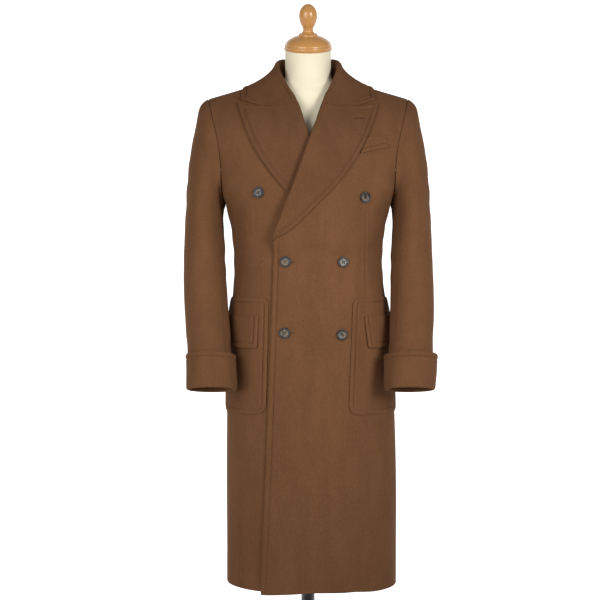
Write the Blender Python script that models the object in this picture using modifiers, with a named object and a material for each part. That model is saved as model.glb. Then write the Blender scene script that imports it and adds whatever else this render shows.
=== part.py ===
"""A double-breasted wool overcoat on a limbless form with a turned wooden cap, pole and base.

Units are metres. +Z is up, +X is the wearer's left, the front faces -Y, and the origin is at the
middle of the base's underside.
"""
from math import acos, asin, cos, degrees, pi, radians, sin, sqrt

import bpy
from mathutils import Matrix, Vector

# Driving sizes of the cloth
CLOTH = 0.0025
SEAM = 0.0003
PLY_GAP = 0.0007
PLY = CLOTH + PLY_GAP
LAPEL_STANDOFF = 0.0020
FRONT_LAP = 0.0042
FRONT_LAP_OVER_LAPEL = 0.0129
BREAK_Z = 1.100
RAISE_REACH = 0.100
RAISE_RAMP = (0.038, 0.072)
RAISE_NARROWING = 0.38
RAISE_GROWTH_Z = (1.060, 1.106)
RAISE_FADE_Z = (1.350, 1.450)
ARMPIT_Z = 1.180
ROUNDNESS = 2.4
CHEST_ROUNDNESS = 1.05
CHEST_ROUNDED_LEVEL = 0.45
COLUMNS_FRONT = 18
COLUMNS_BACK = 9
FRONT_REFERENCE_ANGLE = -22.0
NORMAL_STEP_ANGLE = 0.4
NORMAL_STEP_BELOW = 0.003
NORMAL_STEP_ABOVE = 0.008
CHEST_CENTRE = Vector((0.0, 0.0, ARMPIT_Z))

# Shoulders and armholes
SHOULDER_POINT = (0.2370, 1.4370)
SHOULDER_SLOPE = 0.30
NECK_SOFTENING = 0.035
SHOULDER_Y = 0.012
ARMHOLE_HALF_DEPTH = 0.085
SHOULDER_SEAM_RISE = 0.0011
TOP_YOKE_LEVEL = 0.9995

# The coat below the armpit, as the cloth's inner face.
# height, half width, front depth, back depth, sideways drift of the skirt
SKIRT_RINGS = (
    (0.286, 0.2010, 0.163, 0.148, 0.0085),
    (0.400, 0.2010, 0.160, 0.146, 0.0080),
    (0.520, 0.2010, 0.156, 0.144, 0.0075),
    (0.620, 0.2000, 0.153, 0.142, 0.0068),
    (0.700, 0.1985, 0.150, 0.140, 0.0060),
    (0.770, 0.1970, 0.148, 0.138, 0.0053),
    (0.855, 0.1945, 0.145, 0.135, 0.0040),
    (0.924, 0.1880, 0.141, 0.131, 0.0030),
    (0.970, 0.1800, 0.138, 0.128, 0.0018),
    (1.020, 0.1755, 0.134, 0.125, 0.0008),
    (1.060, 0.1750, 0.132, 0.123, 0.0000),
    (1.100, 0.1775, 0.133, 0.124, 0.0000),
    (1.140, 0.1830, 0.136, 0.128, 0.0000),
    (1.180, 0.1930, 0.140, 0.134, 0.0000),
)

# The coat above the armpit, as the square root of the share of height still left to the shoulder.
# rise left, front depth, back depth
YOKE_DEPTHS = (
    (0.000, -0.012, 0.012),
    (0.100, 0.006, 0.034),
    (0.173, 0.018, 0.048),
    (0.270, 0.035, 0.066),
    (0.387, 0.060, 0.087),
    (0.469, 0.078, 0.099),
    (0.548, 0.094, 0.109),
    (0.632, 0.110, 0.118),
    (0.742, 0.126, 0.127),
    (0.837, 0.135, 0.132),
    (1.000, 0.140, 0.134),
)

# share of height from armpit to shoulder, half width at the armhole seam
ARMHOLE_WIDTHS = (
    (0.00, 0.1930),
    (0.10, 0.1985),
    (0.33, 0.2025),
    (0.55, 0.2100),
    (0.77, 0.2230),
    (1.00, 0.2370),
)

YOKE_LEVELS = (0.03, 0.11, 0.21, 0.29, 0.37, 0.51, 0.63, 0.7477, 0.84, 0.90, 0.935, 0.965, 0.986, 1.0)

# The front's free edge, roll line and neck seam, with the wearer's left front seen on +X.
# x, z
FRONT_EDGE = (
    (-0.1120, 0.286),
    (-0.0960, 0.700),
    (-0.0900, 0.880),
    (-0.0840, 1.060),
    (-0.0825, 1.100),
    (-0.0530, 1.180),
    (-0.0420, 1.209),
    (0.0045, 1.338),
    (0.0155, 1.366),
    (0.0240, 1.395),
    (0.0305, 1.415),
    (0.0400, 1.438),
    (0.0525, 1.463),
    (0.0650, 1.479),
)
NECK_POINT_X = 0.072

# How far the opening of the neck leans to +X: height, shift
OPENING_LEAN = (
    (0.286, 0.0045),
    (1.420, 0.0045),
    (1.500, 0.0000),
)

# The lapel from its foot to its peak.
# place along the roll line, roll z, outer edge x, outer edge z
LAPEL_ROWS = (
    (0.00, 1.1080, -0.0560, 1.1145),
    (0.05, 1.1220, -0.0360, 1.1290),
    (0.10, 1.1400, -0.0160, 1.1480),
    (0.17, 1.1620, 0.0080, 1.1700),
    (0.24, 1.1850, 0.0310, 1.1930),
    (0.31, 1.2090, 0.0540, 1.2170),
    (0.42, 1.2430, 0.0820, 1.2510),
    (0.48, 1.2610, 0.0945, 1.2680),
    (0.54, 1.2790, 0.1060, 1.2850),
    (0.66, 1.3130, 0.1260, 1.3180),
    (0.77, 1.3440, 0.1410, 1.3500),
    (0.86, 1.3700, 0.1510, 1.3760),
    (0.93, 1.3920, 0.1580, 1.3970),
    (1.00, 1.4145, 0.1660, 1.4205),
)
LAPEL_GORGE_SAG = 0.0065
COLLAR_SEAM_EASE = 0.0030
GORGE_GAP = 0.0012
NOTCH_OPENING = 0.0090
NOTCH_START = 0.55
COLLAR_POINT_SHORT = 0.06

# Distances across a turned piece from its roll to its outer edge, as shares
FALL_SHARES = (0.10, 0.22, 0.36, 0.50, 0.64, 0.78, 0.90, 1.0)
# The stand of the collar: share of its height, distance outward
STAND_POINTS = ((0.45, 0.0), (0.86, 0.0003), (1.0, 0.0028))
# Where the fall starts: distance outward and down from the fold
FOLD_END = (0.0062, 0.0022)
# How steeply it starts: shares of its run sideways and down
FALL_EASE = (0.17, 0.45)
ROLL_LIFT = 0.0022
ROLL_LIFT_REACH = 0.35
ROLL_HALF = 0.0026
# The lapel's turn round the front's edge: distance past the seam, share of its lift, more lift
LAPEL_TURN = (
    (0.0002, 0.0, 0.0000),
    (0.0010, 0.0, 0.0022),
    (0.0018, 1.0, 0.0002),
    (0.0002, 1.0, 0.0023),
)
ROLL_SEAM_EASE = 0.0006

# The collar from the middle of the back to the gorge, wearer's left half. A place on the yoke is
# given by its x and its signed rise left, which is negative in front of the shoulder seam.
# seam x, seam rise; fold x, y, z; middle of the fall x, rise, lift; outer edge x, rise
COLLAR_ROWS = (
    (0.0000, 0.270, 0.0000, 0.0770, 1.5420, 0.0000, 0.320, 0.004, 0.0000, 0.392),
    (0.0260, 0.250, 0.0300, 0.0710, 1.5420, 0.0380, 0.295, 0.004, 0.0540, 0.375),
    (0.0480, 0.190, 0.0530, 0.0510, 1.5395, 0.0680, 0.225, 0.004, 0.0960, 0.310),
    (0.0640, 0.100, 0.0655, 0.0280, 1.5345, 0.0910, 0.125, 0.004, 0.1270, 0.190),
    (0.0720, 0.000, 0.0700, 0.0030, 1.5270, 0.1040, 0.010, 0.004, 0.1460, 0.060),
    (0.0700, -0.110, 0.0705, -0.0170, 1.5190, 0.1060, -0.100, 0.004, 0.1530, -0.060),
    (0.0640, -0.210, 0.0670, -0.0360, 1.5040, 0.1050, -0.200, 0.003, 0.1560, -0.150),
    (0.0525, -0.312, 0.0560, -0.0560, 1.4770, 0.1010, -0.300, 0.002, 0.1570, -0.215),
    (0.0400, -0.415, 0.0420, -0.0770, 1.4460, 0.0950, -0.395, 0.001, 0.1575, -0.265),
)

# The set-in sleeve, wearer's left: the highest and lowest point of each ring across the arm.
# outer x, z, inner x, z, middle y, half depth, forward tilt in degrees
SLEEVE_RINGS = (
    (0.2560, 1.417, 0.2010, 1.1825, 0.005, 0.0850, 0.0),
    (0.2675, 1.366, 0.2030, 1.1770, 0.003, 0.0830, 0.0),
    (0.2775, 1.315, 0.2040, 1.1660, 0.000, 0.0810, 0.0),
    (0.2850, 1.250, 0.2045, 1.1500, -0.004, 0.0780, 0.0),
    (0.2885, 1.185, 0.2035, 1.1250, -0.010, 0.0760, 0.0),
    (0.2915, 1.120, 0.2010, 1.0900, -0.018, 0.0730, 3.0),
    (0.2930, 1.055, 0.1990, 1.0450, -0.030, 0.0690, 6.0),
    (0.2930, 0.990, 0.1960, 0.9900, -0.051, 0.0650, 10.0),
    (0.2905, 0.935, 0.1925, 0.9350, -0.076, 0.0620, 13.0),
    (0.2860, 0.885, 0.1885, 0.8850, -0.101, 0.0590, 14.0),
    (0.2825, 0.838, 0.1855, 0.8380, -0.122, 0.0570, 13.0),
    (0.2815, 0.7585, 0.1755, 0.7585, -0.148, 0.0565, 11.0),
)
UNDERARM_SHIFT = (0.0045, 0.0035)
ARMHOLE_GAP = 0.0024
FRONT_SEAM_LEVEL = 0.11
HIND_SEAM_LEVEL = 0.37
SLEEVE_SEAM = 0.0014
SLEEVE_RADIUS = 0.070
CUFF_TOP_STATION = 11.05
CUFF_LOOSE_TOP = 0.0095
CUFF_LOOSE_BOTTOM = 0.0032
CUFF_SIDES = 22

# Pockets and flaps: the inner edge's x at its foot and top, mirrored on the wearer's right
POCKET_INNER_X = {1: (0.0905, 0.1010), -1: (0.0965, 0.0900)}
FLAP_INNER_X = {1: (0.1350, 0.1260), -1: (0.1147, 0.1125)}
POCKET_OUTER_ANGLE = 84.0
POCKET_Z = (0.696, 0.967)
POCKET_CORNER = 0.024
POCKET_TOP_CORNER = 0.018
SIDE_RADIUS = 0.160
FLAP_OUTER_ANGLE = 80.0
FLAP_Z = (0.850, 0.924)
# The breast welt on the wearer's left front: x, z of its corners
WELT_CORNERS = ((0.1185, 1.3005), (0.1840, 1.3170), (0.1770, 1.3440), (0.1400, 1.3440))
COLUMN_CLEAR = 1.2
COLUMN_SPACE = 0.7
ROW_CLEAR = 0.004
CORNER_SHARES = (0.10, 0.45, 1.0)
WELT_COLUMNS = 6
WELT_ROWS = 3

# Buttons: x, z, which front carries it
BUTTON_PLACES = (
    (-0.1145, 1.2110, "right"),
    (0.1300, 1.2000, "left"),
    (-0.0520, 1.0500, "left"),
    (0.0785, 1.0490, "left"),
    (-0.0535, 0.8860, "left"),
    (0.0765, 0.8820, "left"),
)
BUTTON_RADIUS = 0.0130
BUTTON_THICK = 0.0042
BUTTON_STANDOFF = 0.0006
BUTTON_SIDES = 14
# A button's dished face and raised rim, as shares of its radius and thickness
BUTTON_PROFILE = (
    (0.62, 0.70),
    (0.76, 1.00),
    (0.92, 1.00),
    (1.00, 0.62),
    (0.92, 0.20),
    (0.60, 0.00),
)

# The centre vent of the back
VENT_TOP_Z = 0.700
VENT_FADE_Z = 0.770
VENT_UNDERLAP = 0.045
VENT_JOGGLE = 0.030
VENT_DIP = PLY + 0.0005

# The back's neck seam: share of height to the shoulder, x
BACK_NECK = (
    (0.900, 0.000),
    (0.925, 0.000),
    (0.937, 0.026),
    (0.964, 0.048),
    (0.990, 0.064),
    (1.000, 0.072),
)

# The form: height, half width, front depth, back depth, squareness
FORM_RINGS = (
    (0.812, 0.148, 0.098, 0.098, 2.2),
    (0.822, 0.160, 0.109, 0.109, 2.2),
    (0.870, 0.165, 0.115, 0.115, 2.2),
    (0.960, 0.157, 0.108, 0.107, 2.2),
    (1.060, 0.143, 0.098, 0.096, 2.2),
    (1.130, 0.148, 0.103, 0.101, 2.2),
    (1.200, 0.165, 0.111, 0.108, 2.2),
    (1.290, 0.180, 0.106, 0.106, 2.1),
    (1.360, 0.190, 0.088, 0.094, 1.9),
    (1.410, 0.203, 0.066, 0.076, 1.6),
)
# The form's shoulder ridge: x, front depth, back depth, squareness
FORM_RIDGE = (
    (0.2220, 0.070, 0.056, 1.2),
    (0.1960, 0.069, 0.054, 1.2),
    (0.1660, 0.068, 0.051, 1.2),
    (0.1360, 0.060, 0.048, 1.0),
)
FORM_RIDGE_CLEAR = 0.0008
FORM_AXIS_Y = 0.002
NECK_RINGS = ((1.4740, 0.0565), (1.4880, 0.0560), (1.5080, 0.0550), (1.5250, 0.0548))
NECK_TOP_RADIUS = 0.0545
FORM_SIDES = 28

# The turned wooden cap and finial, as a profile above the neck: radius, height
CAP_PROFILE = (
    (0.0540, 0.0000),
    (0.0565, 0.0035),
    (0.0565, 0.0075),
    (0.0530, 0.0150),
    (0.0440, 0.0230),
    (0.0320, 0.0290),
    (0.0225, 0.0320),
    (0.0220, 0.0355),
    (0.0165, 0.0375),
    (0.0125, 0.0430),
    (0.0130, 0.0500),
    (0.0180, 0.0600),
    (0.0215, 0.0720),
    (0.0218, 0.0820),
    (0.0190, 0.0930),
    (0.0120, 0.1020),
    (0.0050, 0.1060),
)
CAP_TILT = radians(18.0)
CAP_Z = 1.558
CAP_SIDES = 20

POLE_RADIUS = 0.016
POLE_SIDES = 20
FORM_SOCKET_Z = 0.812
BASE_PROFILE = (
    (0.0200, 0.0600),
    (0.0240, 0.0560),
    (0.0280, 0.0420),
    (0.0600, 0.0300),
    (0.1500, 0.0230),
    (0.1980, 0.0180),
    (0.2080, 0.0120),
    (0.2100, 0.0060),
    (0.2080, 0.0000),
)
BASE_SIDES = 36


def read_row(table, at):
    """The table's other columns at a value of its first one, on straight lines between rows."""
    rows = sorted(table)
    if at <= rows[0][0]:
        return rows[0][1:]
    for low, high in zip(rows, rows[1:]):
        if at <= high[0]:
            share = (at - low[0]) / (high[0] - low[0])
            return tuple(a + (b - a) * share for a, b in zip(low[1:], high[1:]))
    return rows[-1][1:]


def ease(start, end, value):
    """0 at start, 1 at end, with a soft change between them."""
    share = min(max((value - start) / (end - start), 0.0), 1.0)
    return share * share * (3.0 - 2.0 * share)


def shoulder_height(x):
    tip_run = sqrt(SHOULDER_POINT[0] ** 2 + NECK_SOFTENING ** 2)
    run = tip_run - sqrt(x * x + NECK_SOFTENING ** 2)
    return SHOULDER_POINT[1] + SHOULDER_SLOPE * run


def drift(z):
    return read_row(SKIRT_RINGS, z)[3]


def lean(z):
    return read_row(OPENING_LEAN, z)[0]


def body(face, angle, level):
    """A point of the coat's inner face.

    face is -1 in front and 1 behind. angle runs from 0 at the middle to 90 at the side, signed by
    side. A level below 0 is metres under the armpit, and one from 0 to 1 is a share of the way up
    to the shoulder.
    """
    side = -1.0 if angle < 0.0 else 1.0
    across = abs(sin(radians(angle))) ** (2.0 / ROUNDNESS) * side
    inward = abs(cos(radians(angle)))
    if level <= 0.0:
        z = ARMPIT_Z + level
        half_width, front, back, shift = read_row(SKIRT_RINGS, z)
        depth = front if face < 0 else back
        return Vector((shift + half_width * across, face * depth * inward ** (2.0 / ROUNDNESS), z))
    half_width = read_row(ARMHOLE_WIDTHS, level)[0]
    x = half_width * across
    z = ARMPIT_Z + level * (shoulder_height(x) - ARMPIT_Z)
    rise = sqrt(1.0 - level)
    front, back = read_row(YOKE_DEPTHS, rise)
    middle = -front if face < 0 else back
    edge = SHOULDER_Y * level + face * ARMHOLE_HALF_DEPTH * 2.0 * rise * sqrt(level)
    fullness = ROUNDNESS + (CHEST_ROUNDNESS - ROUNDNESS) * ease(0.0, CHEST_ROUNDED_LEVEL, level)
    return Vector((x, edge + (middle - edge) * inward ** (2.0 / fullness), z))


def outward(face, angle, level):
    """The unit normal of the coat's inner face, pointing out."""
    low_angle = max(angle - NORMAL_STEP_ANGLE, -90.0)
    high_angle = min(angle + NORMAL_STEP_ANGLE, 90.0)
    step = NORMAL_STEP_BELOW if level <= 0.0 else NORMAL_STEP_ABOVE
    low_level = level - step
    high_level = min(level + step, 1.0)
    if low_level < 0.0 < level:
        low_level = level * 0.5
    if level <= 0.0 < high_level:
        high_level = 0.0
    around = body(face, high_angle, level) - body(face, low_angle, level)
    upward = body(face, angle, high_level) - body(face, angle, low_level)
    normal = around.cross(upward) * -face
    return normal.normalized()


def place_of(x, z):
    """The angle and level of the point at x and z."""
    if z <= ARMPIT_Z:
        half_width, _, _, shift = read_row(SKIRT_RINGS, z)
        across = (x - shift) / half_width
        level = z - ARMPIT_Z
    else:
        level = min((z - ARMPIT_Z) / (shoulder_height(x) - ARMPIT_Z), 1.0)
        across = x / read_row(ARMHOLE_WIDTHS, level)[0]
    share = min(abs(across), 1.0) ** (ROUNDNESS / 2.0)
    angle = degrees(asin(share))
    return (-angle if across < 0.0 else angle), level


def on_coat(face, x, z, out=0.0):
    angle, level = place_of(x, z)
    return body(face, angle, level) + outward(face, angle, level) * out


def on_yoke(x, rise, out=0.0):
    """A point above the armpit from its x and signed rise left; it crosses the shoulder at 0."""
    face = -1 if rise < 0.0 else 1
    level = 1.0 - rise * rise
    z = ARMPIT_Z + level * (shoulder_height(x) - ARMPIT_Z)
    angle, _ = place_of(x, z)
    level = min(level, TOP_YOKE_LEVEL)
    return body(face, angle, level) + outward(face, angle, level) * out


def front_raise(side, x, z):
    """How far a front is lifted by the plies under it."""
    if side < 0:
        return 0.0
    reach = RAISE_REACH - RAISE_NARROWING * max(0.0, z - BREAK_Z)
    ramp = RAISE_RAMP[0] + (RAISE_RAMP[1] - RAISE_RAMP[0]) * ease(*RAISE_GROWTH_Z, z)
    spread = 1.0 - ease(reach, reach + ramp, x)
    over_lapel = ease(*RAISE_GROWTH_Z, z)
    above_opening = 1.0 - ease(*RAISE_FADE_Z, z)
    return spread * above_opening * (FRONT_LAP + (FRONT_LAP_OVER_LAPEL - FRONT_LAP) * over_lapel)


def on_front(side, x, z, out=0.0):
    """A point on the outer side of one front; x is mirrored on the wearer's right."""
    real_x = side * x
    return on_coat(-1, real_x, z, front_raise(side, real_x, z) + out)


def leaned(side, x, z):
    """A mirrored place of the neck opening, moved by the lean of the coat."""
    return x + side * lean(z)


def front_edge_table(side):
    """The front's inner boundary: level, x."""
    rows = []
    for x, z in FRONT_EDGE:
        shifted = leaned(side, x, z)
        rows.append((place_of(side * shifted, z)[1], shifted))
    rows.append((1.0, NECK_POINT_X))
    return tuple(rows)


def angle_for_x(x, level):
    """The angle at which a ring of that level has that x, seen from its own side."""
    if level <= 0.0:
        half_width, _, _, _ = read_row(SKIRT_RINGS, ARMPIT_Z + level)
    else:
        half_width = read_row(ARMHOLE_WIDTHS, level)[0]
    across = x / half_width
    angle = degrees(asin(min(abs(across), 1.0) ** (ROUNDNESS / 2.0)))
    return -angle if across < 0.0 else angle


def side_angle(level, gap):
    """The angle that leaves half a seam's gap in front of or behind the side seam."""
    if level > 0.0:
        return 90.0
    depth = read_row(SKIRT_RINGS, ARMPIT_Z + level)[1]
    return degrees(acos((gap / depth) ** (ROUNDNESS / 2.0)))


def top_level(level):
    """The highest row stays half a gap short of the shoulder seam."""
    return min(level, 1.0 - SHOULDER_SEAM_RISE ** 2)


def coat_levels():
    skirt = [row[0] - ARMPIT_Z for row in SKIRT_RINGS]
    return skirt + list(YOKE_LEVELS)


def front_columns():
    """The fixed angles of a front's columns below the lapel, from the side seam inward."""
    span = 90.0 - FRONT_REFERENCE_ANGLE
    return [90.0 - span * step / COLUMNS_FRONT for step in range(COLUMNS_FRONT)]


def sheet(name, rows, finish, grow=1.0, thick=CLOTH, ring=False, keep=None):
    """A wall of cloth through rows of points, thickened by Solidify."""
    columns = len(rows[0])
    points = [point for row in rows for point in row]
    faces = []
    last = columns if ring else columns - 1
    for r in range(len(rows) - 1):
        for c in range(last):
            if keep is not None and not keep(r, c):
                continue
            right = (c + 1) % columns
            faces.append((r * columns + c, r * columns + right,
                          (r + 1) * columns + right, (r + 1) * columns + c))
    used = sorted({index for face in faces for index in face})
    renumber = {old: new for new, old in enumerate(used)}
    mesh = bpy.data.meshes.new(name)
    mesh.from_pydata([points[i] for i in used], [],
                     [tuple(renumber[i] for i in face) for face in faces])
    mesh.update()
    mesh.shade_smooth()
    thing = add_object(name, mesh, finish)
    wall = thing.modifiers.new("Wall", "SOLIDIFY")
    wall.thickness = thick
    wall.offset = grow
    wall.use_even_offset = True
    wall.use_quality_normals = True
    return thing


def faces_out(rows, centre):
    """True when the first face of the rows looks away from a point."""
    middle_row = len(rows) // 2
    middle = len(rows[0]) // 2
    a = rows[middle_row - 1][middle - 1]
    b = rows[middle_row - 1][middle]
    c = rows[middle_row][middle - 1]
    return (b - a).cross(c - a).dot(a - centre) > 0.0


def outward_rows(rows, centre):
    """The rows, turned round where needed so that their faces look away from a point."""
    if faces_out(rows, centre):
        return rows
    return [list(reversed(row)) for row in rows]


def add_object(name, mesh, finish):
    thing = bpy.data.objects.new(name, mesh)
    bpy.data.collections["Overcoat on a form"].objects.link(thing)
    mesh.materials.append(finish)
    return thing


def make_finish(name, colour, roughness, metallic=0.0):
    finish = bpy.data.materials.new(name)
    finish.use_nodes = True
    shader = finish.node_tree.nodes["Principled BSDF"]
    shader.inputs["Base Color"].default_value = (*colour, 1.0)
    shader.inputs["Roughness"].default_value = roughness
    shader.inputs["Metallic"].default_value = metallic
    finish.diffuse_color = (*colour, 1.0)
    return finish


def turned(name, profile, sides, finish, place=None):
    """A turned solid from a profile of radius and height that runs from top to bottom."""
    points = [(0.0, 0.0, profile[0][1])]
    points += [(radius, 0.0, height) for radius, height in profile]
    points.append((0.0, 0.0, profile[-1][1]))
    mesh = bpy.data.meshes.new(name)
    mesh.from_pydata(points, [(i, i + 1) for i in range(len(points) - 1)], [])
    thing = add_object(name, mesh, finish)
    screw = thing.modifiers.new("Turn", "SCREW")
    screw.steps = sides
    screw.render_steps = sides
    screw.use_merge_vertices = True
    screw.merge_threshold = 0.00005
    screw.use_smooth_shade = True
    if place is not None:
        thing.matrix_world = place
    return thing


def make_front(side, name, finish):
    """One front, from the side seam and armhole to its edge, roll line and neck seam."""
    boundary = front_edge_table(side)
    break_level = BREAK_Z - ARMPIT_Z
    rows = []
    for level in coat_levels():
        level_here = top_level(level)
        x_end = read_row(boundary, level)[0]
        shift = side * drift(ARMPIT_Z + level) if level <= 0.0 else 0.0
        end = angle_for_x(x_end - shift, level)
        start = side_angle(level_here, SEAM / 2.0)
        reference = FRONT_REFERENCE_ANGLE if level <= break_level else end
        span = start - reference
        row = []
        for step in range(COLUMNS_FRONT + 1):
            angle = start - span * step / COLUMNS_FRONT
            if step == 0:
                angle = start
            elif level <= break_level:
                angle = 90.0 - (90.0 - FRONT_REFERENCE_ANGLE) * step / COLUMNS_FRONT
            if step == COLUMNS_FRONT:
                angle = end
            real = side * angle
            point = body(-1, real, level_here)
            lift = front_raise(side, point.x, point.z)
            row.append(point + outward(-1, real, level_here) * lift)
        rows.append(row)
    return sheet(name, outward_rows(rows, CHEST_CENTRE), finish)


def vent_dip(x, z):
    """How far the wearer's right back dips under the left one at the vent."""
    near = ease(-VENT_JOGGLE, -0.002, x)
    low = 1.0 - ease(VENT_TOP_Z, VENT_FADE_Z, z)
    return -near * low * VENT_DIP


def make_back(side, name, finish):
    """One back, from the side seam and armhole to the centre-back seam."""
    rows = []
    underlap = side < 0
    for level in coat_levels():
        level_here = top_level(level)
        start = side_angle(level_here, SEAM / 2.0)
        shift = drift(ARMPIT_Z + level) if level <= 0.0 else 0.0
        neck = read_row(BACK_NECK, max(level, 0.0))[0]
        end = angle_for_x(max(neck, SEAM / 2.0), level)
        row = []
        for step in range(COLUMNS_BACK + 1):
            angle = start + (end - start) * step / COLUMNS_BACK
            real = side * angle
            point = body(1, real, level_here)
            dip = vent_dip(point.x - shift, point.z) if underlap else 0.0
            row.append(point + outward(1, real, level_here) * dip)
        if underlap:
            for reach in (VENT_UNDERLAP / 2.0, VENT_UNDERLAP):
                angle = angle_for_x(reach, level)
                row.append(body(1, angle, level_here) - outward(1, angle, level_here) * VENT_DIP)
        rows.append(row)
    vent_rows = sum(1 for row in SKIRT_RINGS if row[0] <= VENT_TOP_Z)
    keep = None
    if underlap:
        def keep(r, c):
            return c < COLUMNS_BACK or r < vent_rows - 1
    if faces_out(rows, CHEST_CENTRE):
        return sheet(name, rows, finish, keep=keep)
    return sheet(name, rows, finish, grow=-1.0, keep=keep)


def armhole_point(side, level, face):
    """A point of the armhole seam, moved out to where the sleeve's wall starts."""
    point = body(face, side * 90.0, min(level, 1.0 - 1e-9))
    near_underarm = (1.0 - level) ** 4
    point.x += side * (ARMHOLE_GAP + UNDERARM_SHIFT[0] * near_underarm)
    point.z += UNDERARM_SHIFT[1] * near_underarm
    return point


def sleeve_point(side, station, turn, out=0.0):
    """A point of a sleeve: station counts its rings, turn runs from 0 at the top over the front."""
    rows = tuple((float(index + 1), *row) for index, row in enumerate(SLEEVE_RINGS))
    level = (1.0 + cos(radians(turn))) / 2.0
    face = -1 if sin(radians(turn)) >= 0.0 else 1
    if station < 1.0:
        start = armhole_point(side, level, face)
        end = sleeve_point(side, 1.0, turn)
        return start + (end - start) * station
    outer_x, outer_z, inner_x, inner_z, middle_y, half_depth, tilt = read_row(rows, station)
    shift = drift((outer_z + inner_z) / 2.0)
    centre = Vector((shift + side * (outer_x + inner_x) / 2.0, middle_y, (outer_z + inner_z) / 2.0))
    across = Vector((side * (outer_x - inner_x) / 2.0, 0.0, (outer_z - inner_z) / 2.0))
    forward = Vector((0.0, -cos(radians(tilt)), sin(radians(tilt))))
    across_out = across.normalized() * (across.length + out)
    return centre + across_out * cos(radians(turn)) + forward * (half_depth + out) * sin(radians(turn))


def sleeve_middle(side, station):
    return (sleeve_point(side, station, 0.0) + sleeve_point(side, station, 180.0)) / 2.0


def level_turn(level):
    return degrees(acos(2.0 * level - 1.0))


def make_sleeve(side, name, first, last, finish):
    """Part of a sleeve between two turns round the arm."""
    turns = {level_turn(level) * sign for level in (0.0, *YOKE_LEVELS) for sign in (1.0, -1.0)}
    turns |= {360.0 - turn for turn in turns if turn > 0.0}
    half_gap = degrees(SLEEVE_SEAM / 2.0 / SLEEVE_RADIUS)
    inside = sorted({round(turn, 6) for turn in turns if first + 1.0 < turn < last - 1.0})
    columns = [first + half_gap, *inside, last - half_gap]
    rows = []
    for station in range(len(SLEEVE_RINGS) + 1):
        rows.append([sleeve_point(side, float(station), turn) for turn in columns])
    return sheet(name, outward_rows(rows, sleeve_middle(side, len(SLEEVE_RINGS) / 2.0)), finish)


def make_cuff(side, name, finish):
    """The turned-back cuff, a band round the end of the sleeve."""
    last = float(len(SLEEVE_RINGS))
    turns = [360.0 * step / CUFF_SIDES for step in range(CUFF_SIDES)]
    rows = []
    for share in (0.0, 0.5, 1.0):
        station = last + (CUFF_TOP_STATION - last) * share
        loose = CUFF_LOOSE_BOTTOM + (CUFF_LOOSE_TOP - CUFF_LOOSE_BOTTOM) * share
        rows.append([sleeve_point(side, station, turn, loose) for turn in turns])
    return sheet(name, outward_rows(rows, sleeve_middle(side, last)), finish, ring=True)


def turned_section(seam, fold, middle, edge):
    """Points across a piece that rises from a seam, turns at its fold and falls to its edge."""
    up = (fold - seam)
    up_unit = up.normalized()
    away = edge - fold
    away = (away - up_unit * away.dot(up_unit)).normalized()
    points = [seam] + [seam + up * share + away * out for share, out in STAND_POINTS]
    start = fold + away * FOLD_END[0] - up_unit * FOLD_END[1]
    points.append(start)
    drop = middle - start
    shoulder = start + Vector((drop.x * FALL_EASE[0], drop.y * FALL_EASE[0], drop.z * FALL_EASE[1]))
    for share in FALL_SHARES:
        rest = 1.0 - share
        points.append(start * rest ** 3 + shoulder * (3.0 * rest * rest * share)
                      + middle * (3.0 * rest * share * share) + edge * share ** 3)
    return points


def fall_across(side, row, end_of_collar=False):
    """Points across a lapel at one place along its roll line, or across the collar's end."""
    along, roll_z, outer_x, outer_z = row
    roll_x = leaned(side, read_row(tuple((z, x) for x, z in FRONT_EDGE), roll_z)[0], roll_z)
    run_x = outer_x - roll_x
    run_z = outer_z - roll_z
    length = sqrt(run_x ** 2 + run_z ** 2)
    seam = CLOTH / 2.0 + SEAM + ROLL_SEAM_EASE
    rest = PLY + CLOTH / 2.0 + LAPEL_STANDOFF

    def spot(distance, out):
        share = distance / length
        up = 0.0
        if end_of_collar:
            opening = ease(NOTCH_START, 1.0, share)
            up = GORGE_GAP + NOTCH_OPENING * opening
            share *= 1.0 - COLLAR_POINT_SHORT * opening
        if 0.0 < share < 1.0:
            up -= LAPEL_GORGE_SAG * 4.0 * share * (1.0 - share) * along ** 6
        return on_front(side, roll_x + run_x * share, roll_z + run_z * share + up, out)

    points = [spot(-seam - reach, share * rest + lift) for reach, share, lift in LAPEL_TURN]
    points.append(spot(ROLL_HALF, rest + LAPEL_TURN[-1][2]))
    reach = length - ROLL_HALF
    for share in FALL_SHARES:
        lift = ROLL_LIFT * (1.0 - ease(0.0, ROLL_LIFT_REACH, share))
        points.append(spot(ROLL_HALF + reach * share, rest + lift))
    return points


def make_lapel(side, name, finish):
    rows = [fall_across(side, row) for row in LAPEL_ROWS]
    return sheet(name, rows, finish, grow=0.0)


def collar_section(side, row):
    seam_x, seam_rise, fold_x, fold_y, fold_z, mid_x, mid_rise, lift, edge_at, edge_rise = row
    seam = on_yoke(side * seam_x, seam_rise)
    toward = (on_yoke(side * mid_x, mid_rise) - seam).normalized()
    shift = Vector((lean(seam.z), 0.0, 0.0))
    seam = seam - toward * (CLOTH / 2.0 + SEAM + COLLAR_SEAM_EASE) + shift
    fold = Vector((side * fold_x + lean(fold_z), fold_y, fold_z))
    rest = PLY + CLOTH / 2.0 + LAPEL_STANDOFF
    middle = on_yoke(side * mid_x, mid_rise, rest + lift)
    edge = on_yoke(side * edge_at, edge_rise, rest)
    return turned_section(seam, fold, middle, edge)


def gorge_section(side):
    """The collar's end, along the gorge beside the lapel's top."""
    return fall_across(side, LAPEL_ROWS[-1], end_of_collar=True)


def make_collar(name, finish):
    left = [collar_section(1, row) for row in COLLAR_ROWS] + [gorge_section(1)]
    right = [collar_section(-1, row) for row in COLLAR_ROWS[1:]] + [gorge_section(-1)]
    rows = list(reversed(right)) + left
    return sheet(name, rows, finish, grow=0.0)


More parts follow.
